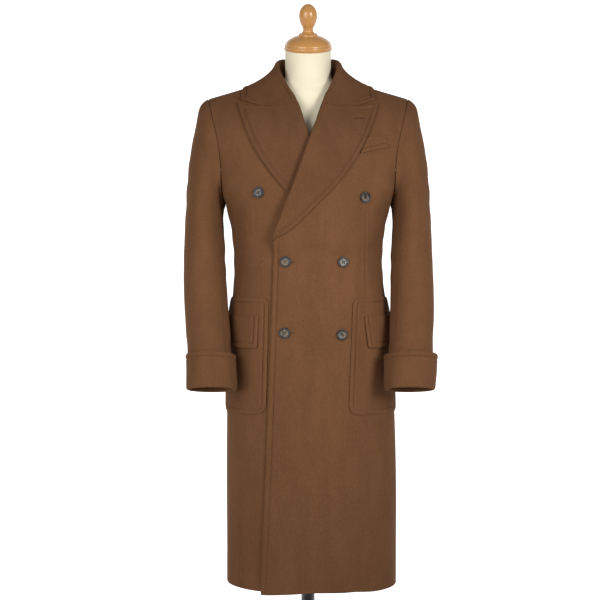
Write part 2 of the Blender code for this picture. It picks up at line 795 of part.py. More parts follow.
def inner_angle(side, edge, limits, z, pull=0.0):
    """The angle of a patch's inner edge at one height, pulled in where a corner is round."""
    foot_x, top_x = edge[side]
    low, high = limits
    x = foot_x + (top_x - foot_x) * (z - low) / (high - low)
    return angle_for_x(x + pull - side * drift(z), z - ARMPIT_Z)


def patch_columns(side, edge, limits, outer_angle, heights):
    """The front's own columns that lie inside a pocket or flap at each of its heights."""
    inner = min(inner_angle(side, edge, limits, z) for z in heights)
    return [angle for angle in front_columns() if inner + COLUMN_CLEAR < angle < outer_angle - COLUMN_CLEAR]


def squeezed(outer, inside, inner):
    """A row's angles with those between its ends kept in order where a corner narrows it."""
    count = len(inside)
    kept = [min(max(angle, inner + COLUMN_SPACE * (count - k)), outer - COLUMN_SPACE * (k + 1))
            for k, angle in enumerate(inside)]
    return (outer, *kept, inner)


def patch_rows(low, high):
    """The heights of a patch's rows, on the skirt's own rings between its two ends."""
    rings = [row[0] for row in SKIRT_RINGS if low + ROW_CLEAR < row[0] < high - ROW_CLEAR]
    return [low, *rings, high]


def on_panel(side, angle, z, out):
    real = side * angle
    level = z - ARMPIT_Z
    point = body(-1, real, level)
    lift = front_raise(side, point.x, point.z)
    return point + outward(-1, real, level) * (lift + out)


def corner_pull(rise, radius):
    """How far a round corner draws the side in at a height above its end."""
    tuck = max(0.0, 1.0 - rise / radius)
    return radius * (1.0 - sqrt(1.0 - tuck * tuck))


def make_pocket(side, name, finish):
    low, high = POCKET_Z
    corner_steps = [low + POCKET_CORNER * share for share in CORNER_SHARES]
    corner_steps += [high - POCKET_TOP_CORNER * share for share in CORNER_SHARES]
    heights = sorted({*patch_rows(low, high), *corner_steps})
    inside = patch_columns(side, POCKET_INNER_X, POCKET_Z, POCKET_OUTER_ANGLE, heights)
    rows = []
    for z in heights:
        pull = corner_pull(z - low, POCKET_CORNER) + corner_pull(high - z, POCKET_TOP_CORNER)
        inner = inner_angle(side, POCKET_INNER_X, POCKET_Z, z, pull)
        outer = POCKET_OUTER_ANGLE - degrees(pull / SIDE_RADIUS)
        rows.append([on_panel(side, angle, z, PLY) for angle in squeezed(outer, inside, inner)])
    return sheet(name, outward_rows(rows, Vector((0.0, 0.0, low))), finish)


def make_flap(side, name, finish):
    low, high = FLAP_Z
    heights = patch_rows(low, high)
    inside = patch_columns(side, FLAP_INNER_X, FLAP_Z, FLAP_OUTER_ANGLE, heights)
    rows = []
    for z in heights:
        inner = inner_angle(side, FLAP_INNER_X, FLAP_Z, z)
        columns = squeezed(FLAP_OUTER_ANGLE, inside, inner)
        rows.append([on_panel(side, angle, z, 2.0 * PLY) for angle in columns])
    return sheet(name, outward_rows(rows, Vector((0.0, 0.0, low))), finish)


def make_welt(name, finish):
    low_left, low_right, high_right, high_left = WELT_CORNERS
    rows = []
    for r in range(WELT_ROWS + 1):
        up = r / WELT_ROWS
        row = []
        for c in range(WELT_COLUMNS + 1):
            across = c / WELT_COLUMNS
            low_x = low_left[0] + (low_right[0] - low_left[0]) * across
            low_z = low_left[1] + (low_right[1] - low_left[1]) * across
            high_x = high_left[0] + (high_right[0] - high_left[0]) * across
            high_z = high_left[1] + (high_right[1] - high_left[1]) * across
            row.append(on_front(1, low_x + (high_x - low_x) * up, low_z + (high_z - low_z) * up, PLY))
        rows.append(row)
    return sheet(name, outward_rows(rows, CHEST_CENTRE), finish)


def make_button(name, x, z, front, finish):
    side = 1 if front == "left" else -1
    reach = BUTTON_RADIUS
    across = on_front(side, side * x + reach, z) - on_front(side, side * x - reach, z)
    upward = on_front(side, side * x, z + reach) - on_front(side, side * x, z - reach)
    normal = (across * side).cross(upward).normalized()
    place = on_front(side, side * x, z) + normal * (CLOTH + BUTTON_STANDOFF)
    turn = normal.to_track_quat("Z", "Y").to_matrix().to_4x4()
    profile = tuple((BUTTON_RADIUS * out, BUTTON_THICK * up) for out, up in BUTTON_PROFILE)
    return turned(name, profile, BUTTON_SIDES, finish, Matrix.Translation(place) @ turn)


def form_ring(z, half_width, front, back, squareness, centre_y=0.0, tilt=0.0):
    points = []
    for step in range(FORM_SIDES):
        turn = 2.0 * pi * step / FORM_SIDES
        across = abs(cos(turn)) ** (2.0 / squareness) * (1.0 if cos(turn) >= 0.0 else -1.0)
        along = abs(sin(turn)) ** (2.0 / squareness) * (1.0 if sin(turn) >= 0.0 else -1.0)
        y = (back if along > 0.0 else front) * along
        points.append(Vector((half_width * across, centre_y + y * cos(tilt), z + y * sin(tilt))))
    return points


def make_form(name, finish):
    """The torso and neck, one closed body from ring to ring."""
    rows = [form_ring(*row) for row in FORM_RINGS]
    for x, front, back, squareness in FORM_RIDGE:
        z = shoulder_height(x) - FORM_RIDGE_CLEAR
        rows.append(form_ring(z, x, front, back, squareness, SHOULDER_Y))
    for z, radius in NECK_RINGS:
        rows.append(form_ring(z, radius, radius, radius, 2.0, FORM_AXIS_Y))
    radius = NECK_TOP_RADIUS
    rows.append(form_ring(CAP_Z, radius, radius, radius, 2.0, FORM_AXIS_Y, CAP_TILT))
    columns = FORM_SIDES
    faces = [tuple(reversed(range(columns)))]
    for r in range(len(rows) - 1):
        for c in range(columns):
            right = (c + 1) % columns
            faces.append((r * columns + c, r * columns + right,
                          (r + 1) * columns + right, (r + 1) * columns + c))
    top = (len(rows) - 1) * columns
    faces.append(tuple(range(top, top + columns)))
    mesh = bpy.data.meshes.new(name)
    mesh.from_pydata([point for row in rows for point in row], [], faces)
    mesh.update()
    mesh.shade_smooth()
    return add_object(name, mesh, finish)


def main():
    for thing in list(bpy.data.objects):
        bpy.data.objects.remove(thing, do_unlink=True)
    collection = bpy.data.collections.new("Overcoat on a form")
    bpy.context.scene.collection.children.link(collection)

    wool = make_finish("Napped brown wool", (0.178, 0.083, 0.038), 0.95)
    horn = make_finish("Dark mottled horn", (0.060, 0.055, 0.050), 0.35)
    cover = make_finish("Cream cotton cover", (0.900, 0.840, 0.640), 0.90)
    beech = make_finish("Waxed honey wood", (0.640, 0.330, 0.100), 0.35)
    iron = make_finish("Dark painted metal", (0.030, 0.028, 0.026), 0.45, 0.6)

    make_front(1, "front_left", wool)
    make_front(-1, "front_right", wool)
    make_back(1, "back_left", wool)
    make_back(-1, "back_right", wool)
    front_turn = level_turn(FRONT_SEAM_LEVEL)
    hind_turn = level_turn(HIND_SEAM_LEVEL)
    for side, word in ((1, "left"), (-1, "right")):
        make_sleeve(side, f"sleeve_{word}_top", -hind_turn, front_turn, wool)
        make_sleeve(side, f"sleeve_{word}_under", front_turn, 360.0 - hind_turn, wool)
        make_cuff(side, f"cuff_{word}", wool)
        make_lapel(side, f"lapel_{word}", wool)
        make_pocket(side, f"pocket_{word}", wool)
        make_flap(side, f"flap_{word}", wool)
    make_collar("collar", wool)
    make_welt("breast_welt", wool)
    for number, (x, z, front) in enumerate(BUTTON_PLACES, start=1):
        make_button(f"button_{number}", x, z, front, horn)

    make_form("form_body", cover)
    cap_turn = Matrix.Rotation(CAP_TILT, 4, "X")
    cap_foot = Vector((0.0, FORM_AXIS_Y, CAP_Z)) + cap_turn @ Vector((0.0, 0.0, SEAM))
    cap_place = Matrix.Translation(cap_foot) @ cap_turn
    cap_profile = tuple(reversed(CAP_PROFILE))
    turned("neck_cap", cap_profile, CAP_SIDES, beech, cap_place)
    base_top = BASE_PROFILE[0][1]
    pole_profile = ((POLE_RADIUS, FORM_SOCKET_Z - SEAM), (POLE_RADIUS, base_top + SEAM))
    turned("form_pole", pole_profile, POLE_SIDES, iron)
    turned("form_base", BASE_PROFILE, BASE_SIDES, iron)


main()
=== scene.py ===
"""The looks of a double-breasted wool overcoat on a limbless form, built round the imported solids.

Units are metres. +Z is up, +X is the wearer's left and the front faces -Y.
"""
from math import cos, degrees, pi, radians, sin, sqrt

import bpy
import numpy as np
from mathutils import Matrix, Vector


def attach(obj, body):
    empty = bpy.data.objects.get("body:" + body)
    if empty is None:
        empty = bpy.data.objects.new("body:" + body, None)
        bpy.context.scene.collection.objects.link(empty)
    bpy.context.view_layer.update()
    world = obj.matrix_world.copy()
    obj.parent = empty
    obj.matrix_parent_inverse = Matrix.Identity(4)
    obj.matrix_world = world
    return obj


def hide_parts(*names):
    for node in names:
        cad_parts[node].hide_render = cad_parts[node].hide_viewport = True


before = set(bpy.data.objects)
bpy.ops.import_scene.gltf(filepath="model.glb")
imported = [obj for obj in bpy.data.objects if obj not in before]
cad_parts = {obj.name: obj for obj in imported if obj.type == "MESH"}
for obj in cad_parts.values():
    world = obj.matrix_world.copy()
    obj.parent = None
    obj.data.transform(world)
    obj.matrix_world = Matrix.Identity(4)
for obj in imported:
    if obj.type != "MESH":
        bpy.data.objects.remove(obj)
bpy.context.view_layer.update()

# The cloth, as in the solids
CLOTH = 0.0025
SEAM = 0.0003
PLY = CLOTH + 0.0007
LAPEL_STANDOFF = 0.0020
FRONT_LAP = 0.0042
FRONT_LAP_OVER_LAPEL = 0.0129
BREAK_Z = 1.100
FREE_EDGE_STOP = 0.002
RAISE_REACH = 0.100
RAISE_RAMP = (0.038, 0.072)
RAISE_NARROWING = 0.38
RAISE_GROWTH_Z = (1.060, 1.106)
RAISE_FADE_Z = (1.350, 1.450)
HEM_Z = 0.286
ARMPIT_Z = 1.180
ROUNDNESS = 2.4
CHEST_ROUNDNESS = 1.05
CHEST_ROUNDED_LEVEL = 0.45
SHOULDER_POINT = (0.2370, 1.4370)
SHOULDER_SLOPE = 0.30
NECK_SOFTENING = 0.035
SHOULDER_Y = 0.012
ARMHOLE_HALF_DEPTH = 0.085
# Just below the shoulder's ridge, where the surface still has a direction
YOKE_TOP_LEVEL = 0.9995

# The inner face's grid: rows below and above the armpit, degrees a column, softening at the armpit
ROWS_BELOW = 224
ROWS_ABOVE = 100
COLUMN_STEP = 0.5
SOFTENED_ROWS = 30
SOFTENING_ROUNDS = 26

# Finished edges: a swelled band, the groove of its stitching and a soft rise past it
EDGE_TURN = 0.003
EDGE_BAND = 0.0115
BAND_RISE = 0.0012
BAND_SLOPE = 0.004
BAND_END = 0.014
GROOVE_DEPTH = 0.0017
GROOVE_HALF = 0.0016
PAST_GROOVE = 0.0050
PAST_GROOVE_HALF = 0.0030
PAST_GROOVE_SHARE = 0.4
# A groove's points: longest step and distance from its ends, spacing, and how few make no line
GROOVE_STEP_LIMIT = 0.02
GROOVE_END_GAP = 0.001
GROOVE_SPACING = 0.006
GROOVE_FEWEST = 8
STITCH_LENGTH = 0.0026
STITCH_PITCH = 0.0042
STITCH_HALF = 0.00028
STITCH_OUT = 0.3
STITCH_HEIGHT = 1.3

# Distances of a grid's lines from a finished edge and from a plain one
FINE_EDGE = (0.0, 0.00035, 0.0008, 0.00125, 0.0022, 0.0040, 0.0062, 0.0082, 0.0096,
             0.0105, 0.0115, 0.0125, 0.0134, 0.0150, 0.0180, 0.0220)
PLAIN_EDGE = (0.0, 0.00035, 0.0008, 0.00125, 0.0030, 0.0070)
# A line with less room than this times its two edges has them drawn closer together
LEAST_ROOM = 1.6
# Each sewn piece's grid, across and up: its two edges and the lines between them
GRIDS = {
    "front": ((PLAIN_EDGE, FINE_EDGE, 110), (PLAIN_EDGE, PLAIN_EDGE, 150)),
    "back": ((PLAIN_EDGE, PLAIN_EDGE, 76), (PLAIN_EDGE, PLAIN_EDGE, 140)),
    "underlap": ((PLAIN_EDGE, PLAIN_EDGE, 8), (PLAIN_EDGE, PLAIN_EDGE, 60)),
    "lapel": ((PLAIN_EDGE, FINE_EDGE, 44), (PLAIN_EDGE, FINE_EDGE, 92)),
    "collar": ((PLAIN_EDGE, FINE_EDGE, 30), (FINE_EDGE, FINE_EDGE, 120)),
    "pocket": ((FINE_EDGE, FINE_EDGE, 34), (FINE_EDGE, FINE_EDGE, 44)),
    "flap": ((FINE_EDGE, FINE_EDGE, 24), (FINE_EDGE, FINE_EDGE, 16)),
    "welt": ((PLAIN_EDGE, PLAIN_EDGE, 30), (FINE_EDGE, PLAIN_EDGE, 8)),
}
SLEEVE_LINES = 120
SLEEVE_LINE_DEGREES = 4.4
CUFF_LINES = 34
# The sides that carry a swelled edge; a side may be only a part of one
LAPEL_BAND = ("right", ("high", 0.0, 0.42))
COLLAR_BAND = (("low", 0.60, 1.0), "right", ("high", 0.0, 0.40))
# Points worked out before a piece's grid is made
PANEL_ROWS_BELOW = 200
PANEL_ROWS_ABOVE = 96
FRONT_EDGE_STEPS = 300
FRONT_STEPS = 420
BACK_STEPS = 300
UNDERLAP_STEPS = (60, 40)
SLEEVE_STEPS = (320, 200)
CUFF_STEPS = (110, 128)
LAPEL_STEPS = (220, 260)
COLLAR_STEPS = (420, 200)
CORNER_STEPS = 30
PATCH_STEPS = (60, 160)
WELT_STEPS = (40, 80)

# The coat below the armpit: height, half width, front depth, back depth, drift of the skirt
SKIRT_RINGS = (
    (0.286, 0.2010, 0.163, 0.148, 0.0085),
    (0.400, 0.2010, 0.160, 0.146, 0.0080),
    (0.520, 0.2010, 0.156, 0.144, 0.0075),
    (0.620, 0.2000, 0.153, 0.142, 0.0068),
    (0.700, 0.1985, 0.150, 0.140, 0.0060),
    (0.770, 0.1970, 0.148, 0.138, 0.0053),
    (0.855, 0.1945, 0.145, 0.135, 0.0040),
    (0.924, 0.1880, 0.141, 0.131, 0.0030),
    (0.970, 0.1800, 0.138, 0.128, 0.0018),
    (1.020, 0.1755, 0.134, 0.125, 0.0008),
    (1.060, 0.1750, 0.132, 0.123, 0.0000),
    (1.100, 0.1775, 0.133, 0.124, 0.0000),
    (1.140, 0.1830, 0.136, 0.128, 0.0000),
    (1.180, 0.1930, 0.140, 0.134, 0.0000),
)
# The coat above the armpit: square root of the height left to the shoulder, front depth, back depth
YOKE_DEPTHS = (
    (0.000, -0.012, 0.012),
    (0.100, 0.006, 0.034),
    (0.173, 0.018, 0.048),
    (0.270, 0.035, 0.066),
    (0.387, 0.060, 0.087),
    (0.469, 0.078, 0.099),
    (0.548, 0.094, 0.109),
    (0.632, 0.110, 0.118),
    (0.742, 0.126, 0.127),
    (0.837, 0.135, 0.132),
    (1.000, 0.140, 0.134),
)
# Share of height from armpit to shoulder, half width at the armhole seam
ARMHOLE_WIDTHS = (
    (0.00, 0.1930),
    (0.10, 0.1985),
    (0.33, 0.2025),
    (0.55, 0.2100),
    (0.77, 0.2230),
    (1.00, 0.2370),
)
# The front's free edge, roll line and neck seam, the wearer's left front seen on +X: z, x
FRONT_EDGE = (
    (0.286, -0.1120),
    (0.700, -0.0960),
    (0.880, -0.0900),
    (1.060, -0.0840),
    (1.100, -0.0825),
    (1.180, -0.0530),
    (1.209, -0.0420),
    (1.338, 0.0045),
    (1.366, 0.0155),
    (1.395, 0.0240),
    (1.415, 0.0305),
    (1.438, 0.0400),
    (1.463, 0.0525),
    (1.479, 0.0650),
)
NECK_POINT_X = 0.072
# How far the opening of the neck leans to +X: height, shift
OPENING_LEAN = (
    (0.286, 0.0045),
    (1.420, 0.0045),
    (1.500, 0.0000),
)
# The back's neck seam: share of height to the shoulder, x
BACK_NECK = (
    (0.900, 0.000),
    (0.925, 0.000),
    (0.937, 0.026),
    (0.964, 0.048),
    (0.990, 0.064),
    (1.000, 0.072),
)
# The lapel from its foot to its peak:
# place along the roll line, roll z, outer edge x, outer edge z
LAPEL_ROWS = (
    (-0.03, 1.1010, -0.0765, 1.1030),
    (0.00, 1.1080, -0.0600, 1.1120),
    (0.05, 1.1220, -0.0370, 1.1280),
    (0.10, 1.1400, -0.0160, 1.1470),
    (0.17, 1.1620, 0.0080, 1.1695),
    (0.24, 1.1850, 0.0310, 1.1930),
    (0.31, 1.2090, 0.0540, 1.2170),
    (0.42, 1.2430, 0.0820, 1.2510),
    (0.54, 1.2790, 0.1060, 1.2850),
    (0.66, 1.3130, 0.1260, 1.3180),
    (0.77, 1.3440, 0.1410, 1.3500),
    (0.86, 1.3700, 0.1510, 1.3760),
    (0.93, 1.3920, 0.1580, 1.3970),
    (1.00, 1.4145, 0.1660, 1.4205),
)
LAPEL_GORGE_SAG = 0.0065
GORGE_SAG_POWER = 6
# A lapel narrower than this turns and stands off less
LAPEL_FULL_WIDTH = 0.03
COLLAR_SEAM_EASE = 0.0030
GORGE_GAP = 0.0006
NOTCH_OPENING = 0.0090
NOTCH_START = 0.55
COLLAR_POINT_SHORT = 0.06
FALL_SHARES = (0.10, 0.22, 0.36, 0.50, 0.64, 0.78, 0.90, 1.0)
STAND_POINTS = ((0.45, 0.0), (0.86, 0.0003), (1.0, 0.0028))
FOLD_END = (0.0080, 0.0032)
FALL_EASE = (0.17, 0.45)
COLLAR_EDGE_DROP = 0.0021
ROLL_LIFT = 0.0022
ROLL_LIFT_REACH = 0.35
ROLL_HALF = 0.0026
ROLL_SEAM_EASE = 0.0006
# The lapel's turn round the front's edge: distance past the seam, share of its lift, more lift
LAPEL_TURN = (
    (0.0002, 0.0, 0.0000),
    (0.0010, 0.0, 0.0022),
    (0.0018, 1.0, 0.0002),
    (0.0002, 1.0, 0.0023),
)
# The collar from the middle of the back to the gorge, wearer's left half:
# seam x, seam rise; fold x, y, z; middle of the fall x, rise, lift; outer edge x, rise
COLLAR_ROWS = (
    (0.0000, 0.270, 0.0000, 0.0770, 1.5420, 0.0000, 0.320, 0.004, 0.0000, 0.392),
    (0.0260, 0.250, 0.0300, 0.0710, 1.5420, 0.0380, 0.295, 0.004, 0.0540, 0.375),
    (0.0480, 0.190, 0.0530, 0.0510, 1.5395, 0.0680, 0.225, 0.004, 0.0960, 0.310),
    (0.0640, 0.100, 0.0655, 0.0280, 1.5345, 0.0910, 0.125, 0.004, 0.1270, 0.190),
    (0.0720, 0.000, 0.0700, 0.0030, 1.5270, 0.1040, 0.010, 0.004, 0.1460, 0.060),
    (0.0700, -0.110, 0.0705, -0.0170, 1.5190, 0.1060, -0.100, 0.004, 0.1530, -0.060),
    (0.0640, -0.210, 0.0670, -0.0360, 1.5040, 0.1050, -0.200, 0.003, 0.1560, -0.150),
    (0.0525, -0.312, 0.0560, -0.0560, 1.4770, 0.1010, -0.300, 0.002, 0.1570, -0.215),
    (0.0400, -0.415, 0.0420, -0.0770, 1.4460, 0.0950, -0.395, 0.001, 0.1575, -0.265),
)
# The set-in sleeve, wearer's left, each ring's highest and lowest point across the arm:
# outer x, z, inner x, z, middle y, half depth, forward tilt in degrees
SLEEVE_RINGS = (
    (0.2560, 1.417, 0.2010, 1.1825, 0.005, 0.0850, 0.0),
    (0.2675, 1.366, 0.2030, 1.1770, 0.003, 0.0830, 0.0),
    (0.2775, 1.315, 0.2040, 1.1660, 0.000, 0.0810, 0.0),
    (0.2850, 1.250, 0.2045, 1.1500, -0.004, 0.0780, 0.0),
    (0.2885, 1.185, 0.2035, 1.1250, -0.010, 0.0760, 0.0),
    (0.2915, 1.120, 0.2010, 1.0900, -0.018, 0.0730, 3.0),
    (0.2930, 1.055, 0.1990, 1.0450, -0.030, 0.0690, 6.0),
    (0.2930, 0.990, 0.1960, 0.9900, -0.051, 0.0650, 10.0),
    (0.2905, 0.935, 0.1925, 0.9350, -0.076, 0.0620, 13.0),
    (0.2860, 0.885, 0.1885, 0.8850, -0.101, 0.0590, 14.0),
    (0.2825, 0.838, 0.1855, 0.8380, -0.122, 0.0570, 13.0),
    (0.2815, 0.7585, 0.1755, 0.7585, -0.148, 0.0565, 11.0),
)
UNDERARM_SHIFT = (0.0045, 0.0035)
UNDERARM_POWER = 4
ARMHOLE_GAP = 0.0003
ARMHOLE_CLEARANCE = (0.60, 0.55)
FRONT_SEAM_LEVEL = 0.11
HIND_SEAM_LEVEL = 0.37

# Pockets and flaps: the inner edge's x at its foot and top, mirrored on the wearer's right,
# and the radii of the lower and upper corners
POCKET_INNER_X = {1: (0.0905, 0.1010), -1: (0.0965, 0.0900)}
POCKET_OUTER_ANGLE = 84.0
POCKET_Z = (0.696, 0.967)
POCKET_CORNERS = (0.024, 0.018)
SIDE_RADIUS = 0.160
FLAP_INNER_X = {1: (0.1350, 0.1260), -1: (0.1147, 0.1125)}
FLAP_OUTER_ANGLE = 80.0
FLAP_Z = (0.850, 0.924)
FLAP_CORNERS = (0.005, 0.001)
FLAP_LIFT = 0.0028
# The breast welt: its corners from the lower left one round, its lift, and how much its top has less
WELT_CORNERS = ((0.1185, 1.3005), (0.1840, 1.3170), (0.1770, 1.3440), (0.1400, 1.3440))
WELT_LIFT = 0.0027
WELT_TOP_DROP = 0.8

# Buttons: x, z, which front carries it
BUTTON_PLACES = (
    (-0.1145, 1.2110, "right"),
    (0.1300, 1.2000, "left"),
    (-0.0520, 1.0500, "left"),
    (0.0785, 1.0490, "left"),
    (-0.0535, 0.8860, "left"),
    (0.0765, 0.8820, "left"),
)
BUTTON_RADIUS = 0.0130
BUTTON_THICK = 0.0042
BUTTON_STANDOFF = 0.0006

VENT_TOP_Z = 0.700
VENT_FADE_Z = 0.770
VENT_UNDERLAP = 0.045
VENT_JOGGLE = 0.030
VENT_DIP = PLY + 0.0005
VENT_EDGE = 0.002
UNDERLAP_START = 0.0008
# The fullness beside the centre-back seam: height, distance from it, reach
CENTRE_FULLNESS = (0.0005, 0.008, 0.005)

# The form: height, half width, front depth, back depth, squareness, middle y
FORM_RINGS = (
    (0.812, 0.148, 0.098, 0.098, 2.2, 0.000),
    (0.822, 0.160, 0.109, 0.109, 2.2, 0.000),
    (0.870, 0.165, 0.115, 0.115, 2.2, 0.000),
    (0.960, 0.157, 0.108, 0.107, 2.2, 0.000),
    (1.060, 0.143, 0.098, 0.096, 2.2, 0.000),
    (1.130, 0.148, 0.103, 0.101, 2.2, 0.000),
    (1.200, 0.165, 0.111, 0.108, 2.2, 0.000),
    (1.290, 0.180, 0.106, 0.106, 2.1, 0.000),
    (1.360, 0.190, 0.088, 0.094, 1.9, 0.000),
    (1.410, 0.203, 0.066, 0.076, 1.6, 0.000),
)
# The form's shoulder ridge: x, front depth, back depth, squareness
FORM_RIDGE = (
    (0.2220, 0.070, 0.056, 1.2),
    (0.1960, 0.069, 0.054, 1.2),
    (0.1660, 0.068, 0.051, 1.2),
    (0.1360, 0.060, 0.048, 1.0),
)
FORM_RIDGE_CLEAR = 0.0008
FORM_AXIS_Y = 0.002
NECK_RINGS = ((1.4740, 0.0565), (1.4880, 0.0560), (1.5080, 0.0550), (1.5250, 0.0548))
NECK_TOP_RADIUS = 0.0545
CAP_TILT = radians(18.0)
CAP_Z = 1.558

# The turned wooden cap and finial: radius, height above the neck
CAP_PROFILE = (
    (0.0000, 0.0000),
    (0.0535, 0.0000),
    (0.0555, 0.0010),
    (0.0566, 0.0035),
    (0.0566, 0.0072),
    (0.0556, 0.0092),
    (0.0545, 0.0100),
    (0.0530, 0.0150),
    (0.0440, 0.0230),
    (0.0320, 0.0290),
    (0.0250, 0.0312),
    (0.0225, 0.0320),
    (0.0226, 0.0345),
    (0.0215, 0.0362),
    (0.0165, 0.0375),
    (0.0125, 0.0430),
    (0.0130, 0.0500),
    (0.0180, 0.0600),
    (0.0215, 0.0720),
    (0.0218, 0.0820),
    (0.0190, 0.0930),
    (0.0120, 0.1020),
    (0.0050, 0.1060),
    (0.0000, 0.1066),
)
BASE_PROFILE = (
    (0.0000, 0.0600),
    (0.0196, 0.0600),
    (0.0222, 0.0590),
    (0.0240, 0.0560),
    (0.0250, 0.0480),
    (0.0290, 0.0420),
    (0.0600, 0.0300),
    (0.1500, 0.0230),
    (0.1980, 0.0180),
    (0.2068, 0.0130),
    (0.2098, 0.0070),
    (0.2090, 0.0020),
    (0.2070, 0.0000),
    (0.0000, 0.0000),
)

CHEST_CENTRE = np.array((0.0, 0.0, ARMPIT_Z))
SHOULDER_SEAM_RISE = 0.0011
SLEEVE_SEAM = 0.0004
SLEEVE_RADIUS = 0.070
# The turned-back cuff's section: height up the sleeve from its end, distance out of its inner face
CUFF_SECTION = (
    (0.0170, -0.0016),
    (0.0080, -0.0017),
    (0.0020, -0.0016),
    (-0.0010, -0.0004),
    (-0.0020, 0.0018),
    (-0.0008, 0.0040),
    (0.0040, 0.0050),
    (0.0200, 0.0066),
    (0.0420, 0.0088),
    (0.0640, 0.0104),
    (0.0790, 0.0108),
)
# How close each cuff lies to the sleeve on the outside of the arm, and its least standing out
CUFF_SNUG = {1: 0.0, -1: 0.9}
CUFF_LEAST = 0.0044
CUFF_WAVE = 0.08
CUFF_WAVES_ROUND = 2.0
CUFF_WAVE_START = (0.006, 0.009)
# How much lower or higher the wearer's left front hangs along its hem: x, shift
HEM_SHIFT = (
    (-0.120, -0.0080),
    (-0.060, -0.0045),
    (0.000, 0.0000),
    (0.085, 0.0030),
    (0.150, -0.0035),
    (0.200, -0.0040),
)
HEM_SHIFT_REACH = 0.180
# The pressed lines beside each front's dart: middle x, half the space between them, lowest z, highest z
DART_LINES = {-1: (0.1240, 0.0040, 1.095, 1.205), 1: (0.1330, 0.0052, 0.980, 1.180)}
DART_RISE = 0.0008
DART_LINE_HALF = 0.0026
DART_SEAM_HALF = 0.0022
DART_SEAM_SHARE = 0.6
DART_FADES = (0.05, 0.03)
# The skirt's falls: depth, share left at the break, waves across, how the first ones sway, fine ones
FALL_DEPTH = 0.0011
FALL_LEAST = 0.25
FALL_WAVES = 36.0
FALL_START = 1.3
FALL_SWAY = 0.8
FALL_SWAY_WAVES = 3.1
FINE_FALL_SHARE = 0.6
FINE_FALL_WAVES = 82.8
FINE_FALL_START = -0.7
# How far before the side seam the falls die out, in depth
FALL_FADE = (0.020, 0.085)
# Flutes of the whole coat: share, waves across, how far they follow the sway, turn by face, start
FLUTES = (
    (0.90, 38.0, 2.0, 0.8, 0.0),
    (0.50, 71.0, -3.0, 0.0, 2.1),
    (0.25, 113.0, 4.0, 1.0, 0.0),
)
# Their sway: share, waves up, turn by face, start
FLUTE_SWAYS = (
    (0.35, 5.1, 1.3, 0.0),
    (0.20, 11.0, 0.0, 2.0),
)
FLUTE_DEPTH = {-1: 0.0011, 1: 0.0022}
FLUTE_Z = (0.42, 0.98)
# Drag lines and hollows of the fronts and backs: height, z, reach up; some also x and reach across
WAIST_DRAG = (0.0007, 1.065, 0.085)
BLADE = (0.0030, 1.300, 0.050, 0.100, 0.050)
BACK_HOLLOW = (0.0012, 1.125, 0.028)
SIDE_DRAG = (0.0012, 1.190, 0.060, 0.175, 0.022)
# Their waves across and up, how the waist's lines bend, and how uneven the hollow is
WAIST_WAVES = (26.0, 120.0)
WAIST_BEND = (1.5, 17.0)
SIDE_WAVES = (120.0, 90.0)
HOLLOW_UNEVEN = (0.4, 33.0, 0.5)
# Creases of the sleeves: where, depth, z, reach up, waves along x, y and z, turn by side
SLEEVE_CREASES = (
    ("mostly inside", 0.0008, 1.055, 0.060, (26.25, 47.25, 96.6), 1.0),
    ("inside", 0.0008, 1.165, 0.040, (0.0, -57.0, 76.0), 1.0),
    ("outside", 0.0009, 1.230, 0.090, (0.0, 38.0, 95.0), 0.0),
    ("all round", 0.0006, 0.870, 0.045, (0.0, -27.0, 85.5), 2.0),
)
SLEEVE_INSIDE_X = (0.215, 0.262)
SLEEVE_OUTSIDE_X = (0.262, 0.290)
SLEEVE_HEAD = (0.0012, 1.425, 0.022)
SLEEVE_HEAD_X = (0.262, 0.274)
# The lapel's buttonhole: x, z, length, slope
LAPEL_BUTTONHOLE = (0.1075, 1.3840, 0.0260, 0.03)
# The ends of two buttonholes past their buttons: x, z
BUTTONHOLE_TAILS = ((-0.0385, 1.0500), (-0.0400, 0.8860))
TAIL_LENGTH = 0.0085
BUTTONHOLE_PITCH = 0.0006
BUTTONHOLE_HALF = 0.0011
BUTTONHOLE_REACH = 0.85
BUTTONHOLE_THREAD = 0.55
TAIL_SLOPE_STEP = 0.001
# A button's section from its back to its face: share of the radius, share of its thickness
BUTTON_PROFILE = (
    (0.00, 0.00),
    (0.60, 0.00),
    (0.86, 0.10),
    (0.98, 0.34),
    (1.00, 0.60),
    (0.96, 0.88),
    (0.88, 1.00),
    (0.78, 0.94),
    (0.70, 0.76),
    (0.60, 0.66),
    (0.30, 0.62),
    (0.00, 0.62),
)
BUTTON_WELL = 0.62
BUTTON_HOLE = 0.0010
BUTTON_HOLE_AT = 0.0027
BUTTON_TWIST = 0.6
BUTTON_HOLE_TURNS = [BUTTON_TWIST + pi / 2.0 * k for k in range(4)]
BUTTON_HOLES = [(BUTTON_HOLE_AT * cos(turn), BUTTON_HOLE_AT * sin(turn)) for turn in BUTTON_HOLE_TURNS]
BUTTON_STEPS = (64, 84)
# A thread hole: its wall between two shares of its radius, and its depth as a share of the thickness
HOLE_WALL = (0.55, 1.15)
HOLE_DEPTH = 0.42
HOLE_LEAST_UP = 0.4
# Thread through the holes: its radius, shift in a hole, dive at its ends, share of it above the face
THREAD_RADIUS = 0.00035
THREAD_SHIFT = 0.35
THREAD_DIVE = 0.0010
THREAD_DIVE_POWER = 5
THREAD_STEPS = (13, 8)
THREAD_OUT = 0.6
POLE_RADIUS = 0.016
FORM_SOCKET_Z = 0.812
NECK_EDGE = 0.0015
FORM_STEPS = (140, 144)
FORM_SOFTENING_ROUNDS = 60
# The heights between which the form's shoulders and neck are softened: start, full, full, end
FORM_SOFT_Z = (1.380, 1.415, 1.490, 1.520)
CAP_STEPS = (150, 96)
POLE_SIDES = 48
BASE_SIDES = 128

